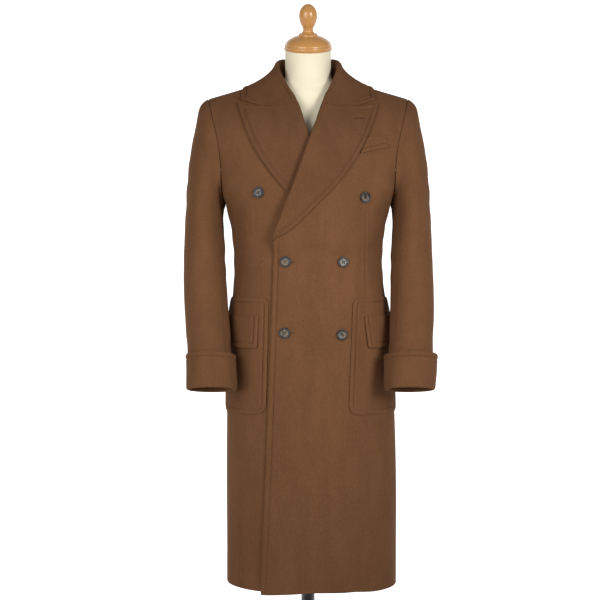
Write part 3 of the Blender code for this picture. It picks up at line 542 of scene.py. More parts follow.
# Colours
WOOL = (0.132, 0.0590, 0.0262)
# The lapels' and collar's copy of the wool, painted darker as shade
LAPEL_SHADE_WOOL = (0.120, 0.0535, 0.0240)
THREAD = (0.046, 0.021, 0.010)
DARK_THREAD = (0.030, 0.024, 0.022)
HORN_DARK = (0.006, 0.009, 0.012)
HORN_GREY = (0.017, 0.023, 0.031)
HORN_BROWN = (0.190, 0.120, 0.060)
WOOD = (0.580, 0.280, 0.080)
COVER = (0.900, 0.820, 0.610)
IRON = (0.025, 0.025, 0.027)

# The studio
CAMERA_PLACE = (-0.0192, -3.6, 1.078)
CAMERA_TILT = radians(1.909)
LENS = 90.0
SENSOR = 36.0
WORLD_STRENGTH = 0.22
BACKDROP_GLOW = 0.86
GLOW_Y = (-1.60, 1.00)
FLOOR_GREY = (0.900, 0.900, 0.900)
FLOOR_DROP = 0.0005
FLOOR_FRONT_Y = -9.0
FLOOR_HALF_WIDTH = 16.0
BEND_START_Y = 7.0
BEND_RADIUS = 2.0
BEND_START_TURN = 0.05
BEND_STEPS = 24
WALL_HEIGHT = 10.0
LIGHT_SPREAD = radians(64.0)
# Soft lights: name, place, aim, size, power
LIGHTS = (
    ("Key", (1.35, -1.85, 1.50), (-0.10, 0.0, 1.02), (0.7, 0.7), 5.2),
    ("Fill", (-1.20, -2.1, 1.30), (0.0, 0.0, 1.02), (1.3, 1.3), 6.0),
)


def column_of(table, column):
    rows = sorted(table)
    return np.array([row[0] for row in rows]), np.array([row[column] for row in rows])


def straight_read(table, column, at):
    places, values = column_of(table, column)
    return np.interp(at, places, values)


def soft_read(table, column, at):
    """A table's column at values of its first one, on a soft curve through its rows."""
    places, values = column_of(table, column)
    at = np.clip(at, places[0], places[-1])
    slopes = np.gradient(values, places)
    low = np.clip(np.searchsorted(places, at, side="right") - 1, 0, len(places) - 2)
    run = places[low + 1] - places[low]
    t = (at - places[low]) / run
    rest = 1.0 - t
    return (values[low] * (1.0 + 2.0 * t) * rest ** 2 + slopes[low] * run * t * rest ** 2
            + values[low + 1] * t ** 2 * (3.0 - 2.0 * t) - slopes[low + 1] * run * t ** 2 * rest)


def ease(start, end, value):
    """0 at start, 1 at end, with a soft change between them."""
    share = np.clip((value - start) / (end - start), 0.0, 1.0)
    return share * share * (3.0 - 2.0 * share)


def swell(value, centre, reach):
    """1 at a centre, dying out softly over a reach on both sides of it."""
    return np.exp(-((value - centre) / reach) ** 2)


def unit(vectors):
    return vectors / np.maximum(np.linalg.norm(vectors, axis=-1, keepdims=True), 1e-9)


def shoulder_height(x):
    tip_run = sqrt(SHOULDER_POINT[0] ** 2 + NECK_SOFTENING ** 2)
    return SHOULDER_POINT[1] + SHOULDER_SLOPE * (tip_run - np.sqrt(x * x + NECK_SOFTENING ** 2))


def drift(z):
    return soft_read(SKIRT_RINGS, 4, z)


def lean(z):
    return straight_read(OPENING_LEAN, 1, z)


def plain_body(face, angle, level):
    """Points of the coat's inner face before it is softened; face is -1 in front and 1 behind."""
    side = np.where(angle < 0.0, -1.0, 1.0)
    across = np.abs(np.sin(np.radians(angle))) ** (2.0 / ROUNDNESS) * side
    inward = np.abs(np.cos(np.radians(angle)))
    z_low = ARMPIT_Z + np.minimum(level, 0.0)
    depth = soft_read(SKIRT_RINGS, 2 if face < 0 else 3, z_low)
    x_low = drift(z_low) + soft_read(SKIRT_RINGS, 1, z_low) * across
    y_low = face * depth * inward ** (2.0 / ROUNDNESS)
    up = np.clip(level, 0.0, 1.0)
    x_high = soft_read(ARMHOLE_WIDTHS, 1, up) * across
    z_high = ARMPIT_Z + up * (shoulder_height(x_high) - ARMPIT_Z)
    rise = np.sqrt(1.0 - up)
    middle = face * soft_read(YOKE_DEPTHS, 1 if face < 0 else 2, rise)
    edge = SHOULDER_Y * up + face * ARMHOLE_HALF_DEPTH * 2.0 * rise * np.sqrt(up)
    fullness = ROUNDNESS + (CHEST_ROUNDNESS - ROUNDNESS) * ease(0.0, CHEST_ROUNDED_LEVEL, up)
    y_high = edge + (middle - edge) * inward ** (2.0 / fullness)
    below = level <= 0.0
    return np.stack([np.where(below, x_low, x_high), np.where(below, y_low, y_high),
                     np.where(below, z_low, z_high)], axis=-1)


def row_of(level):
    """The surface's row, counted in steps, at a level."""
    below = (level + ARMPIT_Z - HEM_Z) / (ARMPIT_Z - HEM_Z) * ROWS_BELOW
    above = ROWS_BELOW + (1.0 - np.sqrt(np.clip(1.0 - level, 0.0, 1.0))) * ROWS_ABOVE
    return np.where(level <= 0.0, below, above)


def column_at(angle):
    return (angle + 90.0) / COLUMN_STEP


def grid_normals(points, ring=False):
    """Unit normals of a grid of points, by rows and columns."""
    if ring:
        across = np.roll(points, -1, axis=1) - np.roll(points, 1, axis=1)
    else:
        across = np.gradient(points, axis=1)
    return unit(np.cross(across, np.gradient(points, axis=0)))


def look_up(grid, row, column):
    """A soft look-up in a grid of points at rows and columns counted in steps."""
    def weights(part):
        return (0.5 * (-part + 2.0 * part ** 2 - part ** 3), 0.5 * (2.0 - 5.0 * part ** 2 + 3.0 * part ** 3),
                0.5 * (part + 4.0 * part ** 2 - 3.0 * part ** 3), 0.5 * (part ** 3 - part ** 2))

    row = np.clip(row, 0.0, grid.shape[0] - 1.0)
    column = np.clip(column, 0.0, grid.shape[1] - 1.0)
    first_row = np.minimum(np.floor(row), grid.shape[0] - 2).astype(int)
    first_column = np.minimum(np.floor(column), grid.shape[1] - 2).astype(int)
    row_weights = weights(row - first_row)
    column_weights = weights(column - first_column)
    total = 0.0
    for r in range(4):
        rows = np.clip(first_row + r - 1, 0, grid.shape[0] - 1)
        for c in range(4):
            columns = np.clip(first_column + c - 1, 0, grid.shape[1] - 1)
            total = total + grid[rows, columns] * (row_weights[r] * column_weights[c])[..., None]
    return total


def drape(face, x, z):
    """How far the cloth stands out of its plain form: soft uneven flutes, drag lines and hollows."""
    sway = sum(share * np.sin(z * waves + by_face * face + start)
               for share, waves, by_face, start in FLUTE_SWAYS)
    flutes = sum(share * np.sin(x * waves + sway * follow + by_face * face + start)
                 for share, waves, follow, by_face, start in FLUTES)
    height = FLUTE_DEPTH[face] * flutes * (1.0 - ease(*FLUTE_Z, z))
    drag, drag_z, reach = WAIST_DRAG
    across, up = WAIST_WAVES
    bend, bend_across = WAIST_BEND
    lines = np.sin(z * up + x * across + bend * np.sin(x * bend_across))
    height += drag * swell(z, drag_z, reach) * lines
    if face > 0:
        full, full_z, reach, full_x, reach_x = BLADE
        height += full * swell(z, full_z, reach) * swell(np.abs(x), full_x, reach_x)
        hollow, hollow_z, reach = BACK_HOLLOW
        uneven, across, start = HOLLOW_UNEVEN
        share = 1.0 - uneven + uneven * np.sin(x * across + start)
        height -= hollow * swell(z, hollow_z, reach) * share
    else:
        drag, drag_z, reach, drag_x, reach_x = SIDE_DRAG
        across, up = SIDE_WAVES
        side = swell(np.abs(x), drag_x, reach_x) * swell(z, drag_z, reach)
        height += drag * side * np.sin(z * up + np.abs(x) * across)
    return height


def make_surface(face):
    """The coat's inner face as a grid of points and normals, softened and draped."""
    below = np.linspace(HEM_Z - ARMPIT_Z, 0.0, ROWS_BELOW + 1)
    above = 1.0 - (1.0 - np.arange(1, ROWS_ABOVE + 1) / ROWS_ABOVE) ** 2
    levels = np.concatenate([below, above])
    angles = np.arange(-90.0, 90.0 + COLUMN_STEP / 2.0, COLUMN_STEP)
    level_grid, angle_grid = np.meshgrid(levels, angles, indexing="ij")
    points = plain_body(face, angle_grid, level_grid)
    first = ROWS_BELOW - SOFTENED_ROWS
    last = ROWS_BELOW + SOFTENED_ROWS
    for _ in range(SOFTENING_ROUNDS):
        part = points[first:last + 1]
        points[first + 1:last] = 0.25 * part[:-2] + 0.5 * part[1:-1] + 0.25 * part[2:]
    normals = grid_normals(points) * -face
    points = points + normals * drape(face, points[..., 0], points[..., 2])[..., None]
    return points, grid_normals(points) * -face


SURFACES = {-1: make_surface(-1), 1: make_surface(1)}


def body(face, angle, level, out=0.0):
    """Points of the coat's inner face, moved out along its normal."""
    points, normals = SURFACES[face]
    row = row_of(level)
    column = column_at(angle)
    place = look_up(points, row, column)
    return place + unit(look_up(normals, row, column)) * np.asarray(out)[..., None]


def place_of(x, z):
    """The angle and level of the points at x and z."""
    low_share = (x - drift(np.minimum(z, ARMPIT_Z))) / soft_read(SKIRT_RINGS, 1, np.minimum(z, ARMPIT_Z))
    level_up = np.clip((z - ARMPIT_Z) / (shoulder_height(x) - ARMPIT_Z), 0.0, 1.0)
    high_share = x / soft_read(ARMHOLE_WIDTHS, 1, level_up)
    share = np.where(z <= ARMPIT_Z, low_share, high_share)
    level = np.where(z <= ARMPIT_Z, z - ARMPIT_Z, level_up)
    angle = np.degrees(np.arcsin(np.minimum(np.abs(share), 1.0) ** (ROUNDNESS / 2.0)))
    return angle * np.where(share < 0.0, -1.0, 1.0), level


def angle_for_x(x, level):
    """The angle at which a ring of that level has that x, without the skirt's drift."""
    half_width = np.where(level <= 0.0, soft_read(SKIRT_RINGS, 1, ARMPIT_Z + np.minimum(level, 0.0)),
                          soft_read(ARMHOLE_WIDTHS, 1, np.maximum(level, 0.0)))
    share = x / half_width
    angle = np.degrees(np.arcsin(np.minimum(np.abs(share), 1.0) ** (ROUNDNESS / 2.0)))
    return np.where(share < 0.0, -angle, angle)


def on_yoke(x, rise, out=0.0):
    """Points above the armpit from x and signed rise left; the shoulder is crossed at 0."""
    x, rise, out = np.broadcast_arrays(np.asarray(x, float), rise, out)
    level = np.minimum(1.0 - rise * rise, YOKE_TOP_LEVEL)
    z = ARMPIT_Z + (1.0 - rise * rise) * (shoulder_height(x) - ARMPIT_Z)
    angle, _ = place_of(x, z)
    front = body(-1, angle, level, out)
    back = body(1, angle, level, out)
    return np.where((rise < 0.0)[..., None], front, back)


def front_raise(side, x, z):
    """How far a front is lifted by the plies under it."""
    if side < 0:
        return np.zeros(np.broadcast(x, z).shape)
    reach = RAISE_REACH - RAISE_NARROWING * np.maximum(0.0, z - BREAK_Z)
    grown = ease(*RAISE_GROWTH_Z, z)
    spread = 1.0 - ease(reach, reach + RAISE_RAMP[0] + (RAISE_RAMP[1] - RAISE_RAMP[0]) * grown, x)
    above_opening = 1.0 - ease(*RAISE_FADE_Z, z)
    return spread * above_opening * (FRONT_LAP + (FRONT_LAP_OVER_LAPEL - FRONT_LAP) * grown)


def on_front(side, x, z, out=0.0):
    """Points on the outer side of one front; x is mirrored on the wearer's right."""
    x, z, out = np.broadcast_arrays(np.asarray(x, float), np.asarray(z, float), out)
    real_x = side * x
    angle, level = place_of(real_x, z)
    return body(-1, angle, level, front_raise(side, real_x, z) + out)


def roll_x(side, z):
    """The front's edge or roll line, mirrored on the wearer's right."""
    return straight_read(FRONT_EDGE, 1, z) + side * lean(z)


def along_lines(lines):
    """Distance of each point from its line's first point."""
    steps = np.linalg.norm(np.diff(lines, axis=1), axis=2)
    return np.concatenate([np.zeros((len(lines), 1)), np.cumsum(steps, axis=1)], axis=1)


def respaced(lines, low_edge, high_edge, count):
    """Each line with new points: close together at its two ends and even between them."""
    low = np.array(low_edge)
    high = np.array(high_edge)
    made = []
    for line, along in zip(lines, along_lines(lines)):
        full = max(along[-1], LEAST_ROOM * (low[-1] + high[-1]))
        middle = np.linspace(low[-1], full - high[-1], count + 2)[1:-1]
        places = np.concatenate([low, middle, full - high[::-1]]) * (along[-1] / full)
        made.append(read_line(line, along, places))
    return np.array(made)


def read_line(line, along, places):
    return np.stack([np.interp(places, along, line[:, k]) for k in range(line.shape[1])], axis=1)


def fine_grid(points, columns, rows):
    """A grid with new lines across and up; each is (low edge, high edge, lines between)."""
    points = respaced(points, *columns)
    return respaced(points.transpose(1, 0, 2), *rows).transpose(1, 0, 2)


def border_distance(points, ring):
    """Distance of each point from the nearest border of its grid."""
    up = along_lines(points.transpose(1, 0, 2)).T
    nearest = np.minimum(up, up[-1:] - up)
    if ring:
        return nearest
    across = along_lines(points)
    return np.minimum(nearest, np.minimum(across, across[:, -1:] - across))


def finer(line):
    """A line with four times as many points."""
    return read_line(line, np.arange(len(line)), np.linspace(0, len(line) - 1, len(line) * 4))


def border_line(points, sides, ring=False):
    """The points of some of a grid's sides, in order round it; a side may be only a part of one."""
    lines = {"low": points[0], "right": points[:, -1], "high": points[-1][::-1],
             "left": points[::-1, 0]}
    parts = []
    for name, start, end in ((side, 0.0, 1.0) if isinstance(side, str) else side for side in sides):
        along = along_lines(lines[name][None])[0]
        parts.append(lines[name][(along >= start * along[-1]) & (along <= end * along[-1])])
    line = np.concatenate(parts)
    if ring:
        line = np.concatenate([line, line[:1]])
    return finer(line)


def distance_to(points, line):
    """Distance of each grid point from a line, and the nearest place along the line."""
    flat = points.reshape(-1, 3)
    places = along_lines(line[None])[0]
    distance = np.empty(len(flat))
    place = np.empty(len(flat))
    step = 4000
    for start in range(0, len(flat), step):
        part = flat[start:start + step]
        apart = (part ** 2).sum(axis=1)[:, None] + (line ** 2).sum(axis=1)[None] - 2.0 * part @ line.T
        nearest = apart.argmin(axis=1)
        distance[start:start + step] = np.linalg.norm(part - line[nearest], axis=1)
        place[start:start + step] = places[nearest]
    return distance.reshape(points.shape[:2]), place.reshape(points.shape[:2])


def band_relief(distance):
    """The swelled band beside a finished edge and the groove of its stitching."""
    band = ease(0.0, EDGE_TURN, distance) * (1.0 - ease(EDGE_BAND - BAND_SLOPE, EDGE_BAND, distance))
    past = PAST_GROOVE_SHARE * swell(distance, EDGE_BAND + PAST_GROOVE, PAST_GROOVE_HALF)
    return BAND_RISE * (band + past) - GROOVE_DEPTH * swell(distance, EDGE_BAND, GROOVE_HALF)


def groove_line(outer, normals, distance, place):
    """Points and normals along the groove beside a finished edge, in order along that edge."""
    found = []
    for o, n, d, s in ((outer, normals, distance, place),
                       (outer.swapaxes(0, 1), normals.swapaxes(0, 1), distance.T, place.T)):
        crosses = (d[1:] - EDGE_BAND) * (d[:-1] - EDGE_BAND) < 0.0
        crosses &= np.abs(s[1:] - s[:-1]) < GROOVE_STEP_LIMIT
        crosses &= (s[1:] > GROOVE_END_GAP) & (s[1:] < place.max() - GROOVE_END_GAP)
        share = ((EDGE_BAND - d[:-1]) / np.where(crosses, d[1:] - d[:-1], 1.0))[crosses][:, None]
        spots = o[:-1][crosses] * (1.0 - share) + o[1:][crosses] * share
        found.append(np.hstack([spots, n[1:][crosses], s[:-1][crosses][:, None]]))
    found = np.vstack(found)
    if len(found) < GROOVE_FEWEST:
        return None
    _, index = np.unique((found[:, 6] / GROOVE_SPACING).astype(int), return_inverse=True)
    counts = np.bincount(index)[:, None]
    mean = np.stack([np.bincount(index, found[:, k]) for k in range(6)], axis=1) / counts
    return mean[:, :3], unit(mean[:, 3:6])


sewn = []


def stitch_along(points, normals):
    """Short stitches of thread in a line, kept until all of them are made as one piece."""
    along = along_lines(points[None])[0]
    places = np.arange(STITCH_PITCH, along[-1] - STITCH_PITCH, STITCH_PITCH)
    spots = read_line(points, along, places)
    run = unit(read_line(points, along, places + STITCH_PITCH / 2.0) - spots)
    up = unit(read_line(normals, along, places))
    lay_stitches(spots + up * STITCH_HALF * STITCH_OUT, run * STITCH_LENGTH / 2.0, up, STITCH_HALF)


def lay_stitches(spots, reach, up, half):
    """One octahedron of thread for each place, half reach and normal."""
    across = unit(np.cross(reach, up)) * half
    rise = up * half * STITCH_HEIGHT
    sewn.append(np.stack([spots + reach, spots - reach, spots + across, spots - across,
                          spots + rise, spots - rise], axis=1))


def grid_faces(index, ring, turned_over):
    """Quads of a grid of point numbers."""
    right = np.roll(index, -1, axis=1)
    if not ring:
        index, right = index[:, :-1], right[:, :-1]
    corners = [index[:-1], right[:-1], right[1:], index[1:]]
    if turned_over:
        corners.reverse()
    return np.stack(corners, axis=-1).reshape(-1, 4)


class Wall:
    """A wall of cloth with round edges through a grid of points."""

    def __init__(self, grid, centre, shown=np.s_[:, :], ring=False, seat=0.0, band=(), relief=None):
        """seat is where the grid lies in the wall: 0 its inner face, 0.5 its middle.

        The outer side looks away from centre on the shown part. band names the sides with a
        swelled edge, or works out that edge from the grid.
        """
        normals = grid_normals(grid, ring)
        over = float(np.sum((normals * (grid - centre))[shown])) < 0.0
        if over:
            normals = -normals
        edge = border_distance(grid, ring)
        roundness = np.sqrt(1.0 - (1.0 - np.minimum(edge / (CLOTH / 2.0), 1.0)) ** 2)
        middle = grid + normals * CLOTH * (0.5 - seat)
        half = normals * (CLOTH / 2.0 * roundness)[..., None]
        raised = np.zeros(edge.shape) if relief is None else relief(middle)
        if band:
            line = band(middle) if callable(band) else border_line(middle, band, ring)
            distance, place = distance_to(middle, line)
            whole = ring or callable(band) or all(isinstance(name, str) for name in band)
            fade = 1.0 if whole else ease(0.0, BAND_END, place) * ease(0.0, BAND_END, place.max() - place)
            raised = raised + band_relief(distance) * fade
        self.outer = middle + half + normals * (raised * ease(0.0, EDGE_TURN, edge))[..., None]
        self.normals = normals
        if band:
            groove = groove_line(self.outer, normals, distance, place)
            if groove is not None:
                stitch_along(*groove)
        rows, columns = edge.shape
        number = np.arange(rows * columns).reshape(rows, columns)
        inside = np.zeros(edge.shape, bool)
        inside[1:-1, :] = True
        if not ring:
            inside[:, 0] = False
            inside[:, -1] = False
        hidden = number.copy()
        hidden[inside] = rows * columns + np.arange(inside.sum())
        self.faces = np.vstack([grid_faces(number, ring, over), grid_faces(hidden, ring, not over)]).tolist()
        self.points = np.vstack([self.outer.reshape(-1, 3), (middle - half)[inside]])

    def spot(self, x, z, shown):
        """The place and normal on the outer side at x and z, seen from the front."""
        outer = self.outer[shown].reshape(-1, 3)
        normals = self.normals[shown].reshape(-1, 3)
        places = []
        for at_x, at_z in zip(x, z):
            k = np.argmin((outer[:, 0] - at_x) ** 2 + (outer[:, 2] - at_z) ** 2)
            n = normals[k]
            y = outer[k, 1] - (n[0] * (at_x - outer[k, 0]) + n[2] * (at_z - outer[k, 2])) / n[1]
            places.append((at_x, y, at_z, *n))
        places = np.array(places)
        return places[:, :3], places[:, 3:]


def add_to_scene(name, data):
    thing = bpy.data.objects.new(name, data)
    bpy.context.scene.collection.objects.link(thing)
    return thing


def add_piece(points, faces, finish):
    mesh = bpy.data.meshes.new("piece")
    mesh.from_pydata(points, [], faces)
    mesh.update()
    mesh.materials.append(finish)
    return add_to_scene("piece", mesh)


def make_mesh(walls, finish):
    """One piece from one or more walls, or other things with points and faces."""
    points = []
    faces = []
    for wall in walls:
        first = len(points)
        faces.extend([first + corner for corner in face] for face in wall.faces)
        points.extend(wall.points.tolist())
    thing = add_piece(points, faces, finish)
    thing.data.shade_smooth()
    return thing


def panel_levels():
    """Levels from the hem to just below the shoulder seam."""
    below = np.linspace(HEM_Z - ARMPIT_Z, 0.0, PANEL_ROWS_BELOW)
    rises = np.linspace(1.0, SHOULDER_SEAM_RISE, PANEL_ROWS_ABOVE)[1:]
    return np.concatenate([below, 1.0 - rises ** 2])


def side_start(level):
    """The angle that leaves half a seam's gap at the side seam."""
    depth = soft_read(SKIRT_RINGS, 2, ARMPIT_Z + np.minimum(level, 0.0))
    low = np.degrees(np.arccos((SEAM / 2.0 / depth) ** (ROUNDNESS / 2.0)))
    return np.where(level > 0.0, 90.0, low)


def panel_points(face, side, levels, ends, count, raise_by):
    """A panel's points from its side seam to given angles; raise_by works from x and z."""
    start = side_start(levels)
    shares = np.linspace(0.0, 1.0, count)
    angles = start[:, None] + (ends - start)[:, None] * shares[None]
    level_grid = np.broadcast_to(levels[:, None], angles.shape)
    plain = body(face, side * angles, level_grid)
    return body(face, side * angles, level_grid, raise_by(plain[..., 0], plain[..., 2]))


def front_relief(side):
    """The soft lines beside the pressed seam of a front's dart, and the falls of its skirt."""
    centre, half_apart, low, high = DART_LINES[side]
    low_fade, high_fade = DART_FADES

    def relief(points):
        x = side * points[..., 0]
        z = points[..., 2]
        fade = ease(low, low + low_fade, z) * (1.0 - ease(high - high_fade, high, z))
        lines = swell(x, centre - half_apart, DART_LINE_HALF) + swell(x, centre + half_apart, DART_LINE_HALF)
        seam = DART_SEAM_SHARE * swell(x, centre, DART_SEAM_HALF)
        return fade * DART_RISE * (lines - seam) + soft_falls(points)
    return relief


def soft_falls(points):
    """Long shallow falls of cloth down the skirt, deeper toward the hem."""
    x = points[..., 0]
    z = points[..., 2]
    deep = 1.0 - ease(HEM_Z, BREAK_Z, z)
    sway = FALL_SWAY * np.sin(FALL_SWAY_WAVES * z)
    falls = np.sin(FALL_WAVES * x + sway + FALL_START)
    falls += FINE_FALL_SHARE * np.sin(FINE_FALL_WAVES * x + z + FINE_FALL_START)
    depth = FALL_DEPTH * (FALL_LEAST + (1.0 - FALL_LEAST) * deep)
    return depth * ease(*FALL_FADE, -points[..., 1]) * falls


def free_edge(grid):
    """A front's edge below the break, which no seam holds."""
    edge = grid[:, -1]
    return finer(edge[edge[:, 2] < BREAK_Z - FREE_EDGE_STOP])


def make_front(side, wool):
    """One front from its side seam and armhole to its edge, roll line and neck seam."""
    levels = panel_levels()
    edge_z = np.linspace(HEM_Z, FRONT_EDGE[-1][0], FRONT_EDGE_STEPS)
    edge_x = roll_x(side, edge_z)
    edge_level = np.append(place_of(side * edge_x, edge_z)[1], 1.0)
    low_x = np.interp(levels, edge_level, np.append(edge_x, NECK_POINT_X))
    shift = np.where(levels <= 0.0, side * drift(ARMPIT_Z + np.minimum(levels, 0.0)), 0.0)
    points = panel_points(-1, side, levels, angle_for_x(low_x - shift, levels), FRONT_STEPS,
                          lambda x, z: front_raise(side, x, z))
    if side > 0:
        low = 1.0 - ease(HEM_Z, HEM_Z + HEM_SHIFT_REACH, points[..., 2])
        points[..., 2] += low * soft_read(HEM_SHIFT, 1, points[..., 0])
    grid = fine_grid(points, *GRIDS["front"])
    wall = Wall(grid, CHEST_CENTRE, band=free_edge, relief=front_relief(side))
    return make_mesh([wall], wool)


def vent_dip(x, z):
    """How far the wearer's right back dips under the left one at the vent."""
    low = 1.0 - ease(VENT_TOP_Z, VENT_FADE_Z, z)
    return -ease(-VENT_JOGGLE, -VENT_EDGE, x - drift(z)) * low * VENT_DIP


def centre_seam(points):
    """The cloth lies a little full beside the centre-back seam."""
    x = points[..., 0] - drift(np.minimum(points[..., 2], ARMPIT_Z))
    height, distance, reach = CENTRE_FULLNESS
    return height * swell(np.abs(x), distance, reach)


def vent_underlap():
    """The wearer's right back's underlap behind the centre vent."""
    rows, columns = UNDERLAP_STEPS
    levels = np.linspace(HEM_Z - ARMPIT_Z, VENT_TOP_Z - ARMPIT_Z, rows)
    x, level_grid = np.meshgrid(np.linspace(UNDERLAP_START, VENT_UNDERLAP, columns), levels)
    points = body(1, angle_for_x(x, level_grid), level_grid, np.full(x.shape, -VENT_DIP))
    return Wall(fine_grid(points, *GRIDS["underlap"]), CHEST_CENTRE)


def make_back(side, wool):
    """One back from its side seam and armhole to the centre seam."""
    levels = panel_levels()
    neck = straight_read(BACK_NECK, 1, np.maximum(levels, 0.0))
    ends = angle_for_x(np.maximum(neck, SEAM / 2.0), levels)
    points = panel_points(1, side, levels, ends, BACK_STEPS,
                          vent_dip if side < 0 else lambda x, z: np.zeros(x.shape))
    walls = [Wall(fine_grid(points, *GRIDS["back"]), CHEST_CENTRE, relief=centre_seam)]
    if side < 0:
        walls.append(vent_underlap())
    return make_mesh(walls, wool)


def sleeve_rings(side, turns):
    """Points of the sleeve's inner face, one row a ring from the armhole down."""
    level = (1.0 + np.cos(np.radians(turns))) / 2.0
    near_underarm = (1.0 - level) ** UNDERARM_POWER
    flat_level = np.minimum(level, 1.0 - 1e-9)
    angle = np.full(level.shape, side * 90.0)
    front = (np.sin(np.radians(turns)) >= 0.0)[:, None]
    start = np.where(front, body(-1, angle, flat_level), body(1, angle, flat_level))
    sideways = side * np.where(front, body(-1, angle, flat_level, 1.0), body(1, angle, flat_level, 1.0))[:, 0]
    sideways = sideways - side * start[:, 0]
    clear = ARMHOLE_CLEARANCE[0] + ARMHOLE_CLEARANCE[1] * near_underarm
    gap = ARMHOLE_GAP + clear * CLOTH * np.clip(sideways, 0.0, 1.0)
    start[:, 0] += side * (gap + UNDERARM_SHIFT[0] * near_underarm)
    start[:, 2] += UNDERARM_SHIFT[1] * near_underarm
    rows = [start]
    cosine = np.cos(np.radians(turns))[:, None]
    sine = np.sin(np.radians(turns))[:, None]
    for outer_x, outer_z, inner_x, inner_z, middle_y, half_depth, tilt in SLEEVE_RINGS:
        shift = float(drift((outer_z + inner_z) / 2.0))
        centre = np.array((shift + side * (outer_x + inner_x) / 2.0, middle_y, (outer_z + inner_z) / 2.0))
        across = np.array((side * (outer_x - inner_x) / 2.0, 0.0, (outer_z - inner_z) / 2.0))
        forward = np.array((0.0, -cos(radians(tilt)), sin(radians(tilt)))) * half_depth
        rows.append(centre + across * cosine + forward * sine)
    return np.array(rows)


def sleeve_spine(side):
    return sleeve_rings(side, np.array((0.0, 180.0))).mean(axis=1)


def sleeve_folds(side):
    """Soft creases inside the elbow, drag lines under the arm and a slight fullness at the head."""
    def relief(points):
        mirrored = points * np.array((side, 1.0, 1.0))
        x = mirrored[..., 0]
        z = mirrored[..., 2]
        inside = 1.0 - ease(*SLEEVE_INSIDE_X, x)
        shares = {"inside": inside, "mostly inside": 0.3 + 0.7 * inside, "all round": 1.0,
                  "outside": ease(*SLEEVE_OUTSIDE_X, x)}
        full, full_z, reach = SLEEVE_HEAD
        height = full * swell(z, full_z, reach) * (1.0 - ease(*SLEEVE_HEAD_X, x))
        for where, depth, middle_z, reach, waves, turn in SLEEVE_CREASES:
            crease = np.sin(mirrored @ np.array(waves) + side * turn)
            height = height + depth * shares[where] * swell(z, middle_z, reach) * crease
        return height
    return relief


def make_sleeve(side, first, last, wool):
    """Part of a sleeve between two turns round the arm."""
    half_gap = degrees(SLEEVE_SEAM / 2.0 / SLEEVE_RADIUS)
    rows, columns = SLEEVE_STEPS
    turns = np.linspace(first + half_gap, last - half_gap, columns)
    points = soft_grid(sleeve_rings(side, turns), rows, columns)
    lines = int((last - first) / SLEEVE_LINE_DEGREES)
    grid = fine_grid(points, (PLAIN_EDGE, PLAIN_EDGE, lines), (PLAIN_EDGE, PLAIN_EDGE, SLEEVE_LINES))
    spine = sleeve_spine(side)
    middle = read_line(spine, np.arange(len(spine)), np.linspace(0.0, len(spine) - 1.0, len(grid)))
    return make_mesh([Wall(grid, middle[:, None], relief=sleeve_folds(side))], wool)


def make_cuff(side, wool):
    """The turned-back cuff: out of the sleeve, round its end and up over it."""
    stations, columns = CUFF_STEPS
    turns = np.linspace(0.0, 360.0, columns, endpoint=False)
    rings = sleeve_rings(side, turns)
    spine = sleeve_spine(side)
    last_run = np.linalg.norm(spine[-1] - spine[-2])
    down = (spine[-1] - spine[-2]) / last_run
    lobe = CUFF_SNUG[side] * np.clip(np.cos(np.radians(turns)), 0.0, 1.0) ** 2
    rows = []
    for height, out in rounded_profile(CUFF_SECTION, stations):
        station = len(spine) - 1.0 - max(height, 0.0) / last_run
        ring = look_up(rings, np.full(columns, station), np.arange(columns)) + down * max(-height, 0.0)
        wave = np.sin(np.radians(turns) * CUFF_WAVES_ROUND + side)
        loose = 1.0 + CUFF_WAVE * ease(*CUFF_WAVE_START, out) * wave
        spread = out * loose - max(out - CUFF_LEAST, 0.0) * lobe
        rows.append(ring + unit(ring - ring.mean(axis=0)) * spread[:, None])
    grid = np.array(rows).transpose(1, 0, 2)
    grid = respaced(grid, PLAIN_EDGE, FINE_EDGE, CUFF_LINES).transpose(1, 0, 2)
    wall = Wall(grid, grid[-1].mean(axis=0), np.s_[len(grid) // 2:, :], ring=True, seat=0.5, band=("high",))
    return make_mesh([wall], wool)


def soft_grid(sections, rows, columns):
    """Sections joined by soft curves, with new rows and columns."""
    sections = np.array(sections)
    row, column = np.meshgrid(np.linspace(0.0, len(sections) - 1.0, rows),
                              np.linspace(0.0, sections.shape[1] - 1.0, columns), indexing="ij")
    return look_up(sections, row, column)


def fall_across(side, row, end_of_collar=False):
    """Points across a lapel at one place along its roll line, or across the collar's end."""
    along, low_z, outer_x, outer_z = row
    low_x = float(roll_x(side, low_z))
    run_x = outer_x - low_x
    run_z = outer_z - low_z
    length = sqrt(run_x ** 2 + run_z ** 2)
    size = min(1.0, length / LAPEL_FULL_WIDTH)
    seam = CLOTH / 2.0 + SEAM + ROLL_SEAM_EASE
    rest = PLY + CLOTH / 2.0 + LAPEL_STANDOFF
    spots = [(-seam - reach * size, share * rest + lift * size) for reach, share, lift in LAPEL_TURN]
    start = ROLL_HALF * size
    spots.append((start, rest + LAPEL_TURN[-1][2] * size))
    for share in FALL_SHARES:
        lift = ROLL_LIFT * size * (1.0 - float(ease(0.0, ROLL_LIFT_REACH, share)))
        spots.append((start + (length - start) * share, rest + lift))
    distance, out = np.array(spots).T
    share = distance / length
    up = np.zeros(len(share))
    if end_of_collar:
        opening = ease(NOTCH_START, 1.0, share)
        up = GORGE_GAP + NOTCH_OPENING * opening
        share = share * (1.0 - COLLAR_POINT_SHORT * opening)
    sag = np.clip(4.0 * share * (1.0 - share), 0.0, 1.0)
    up = up - LAPEL_GORGE_SAG * sag * max(along, 0.0) ** GORGE_SAG_POWER
    return on_front(side, low_x + run_x * share, low_z + run_z * share + up, out)


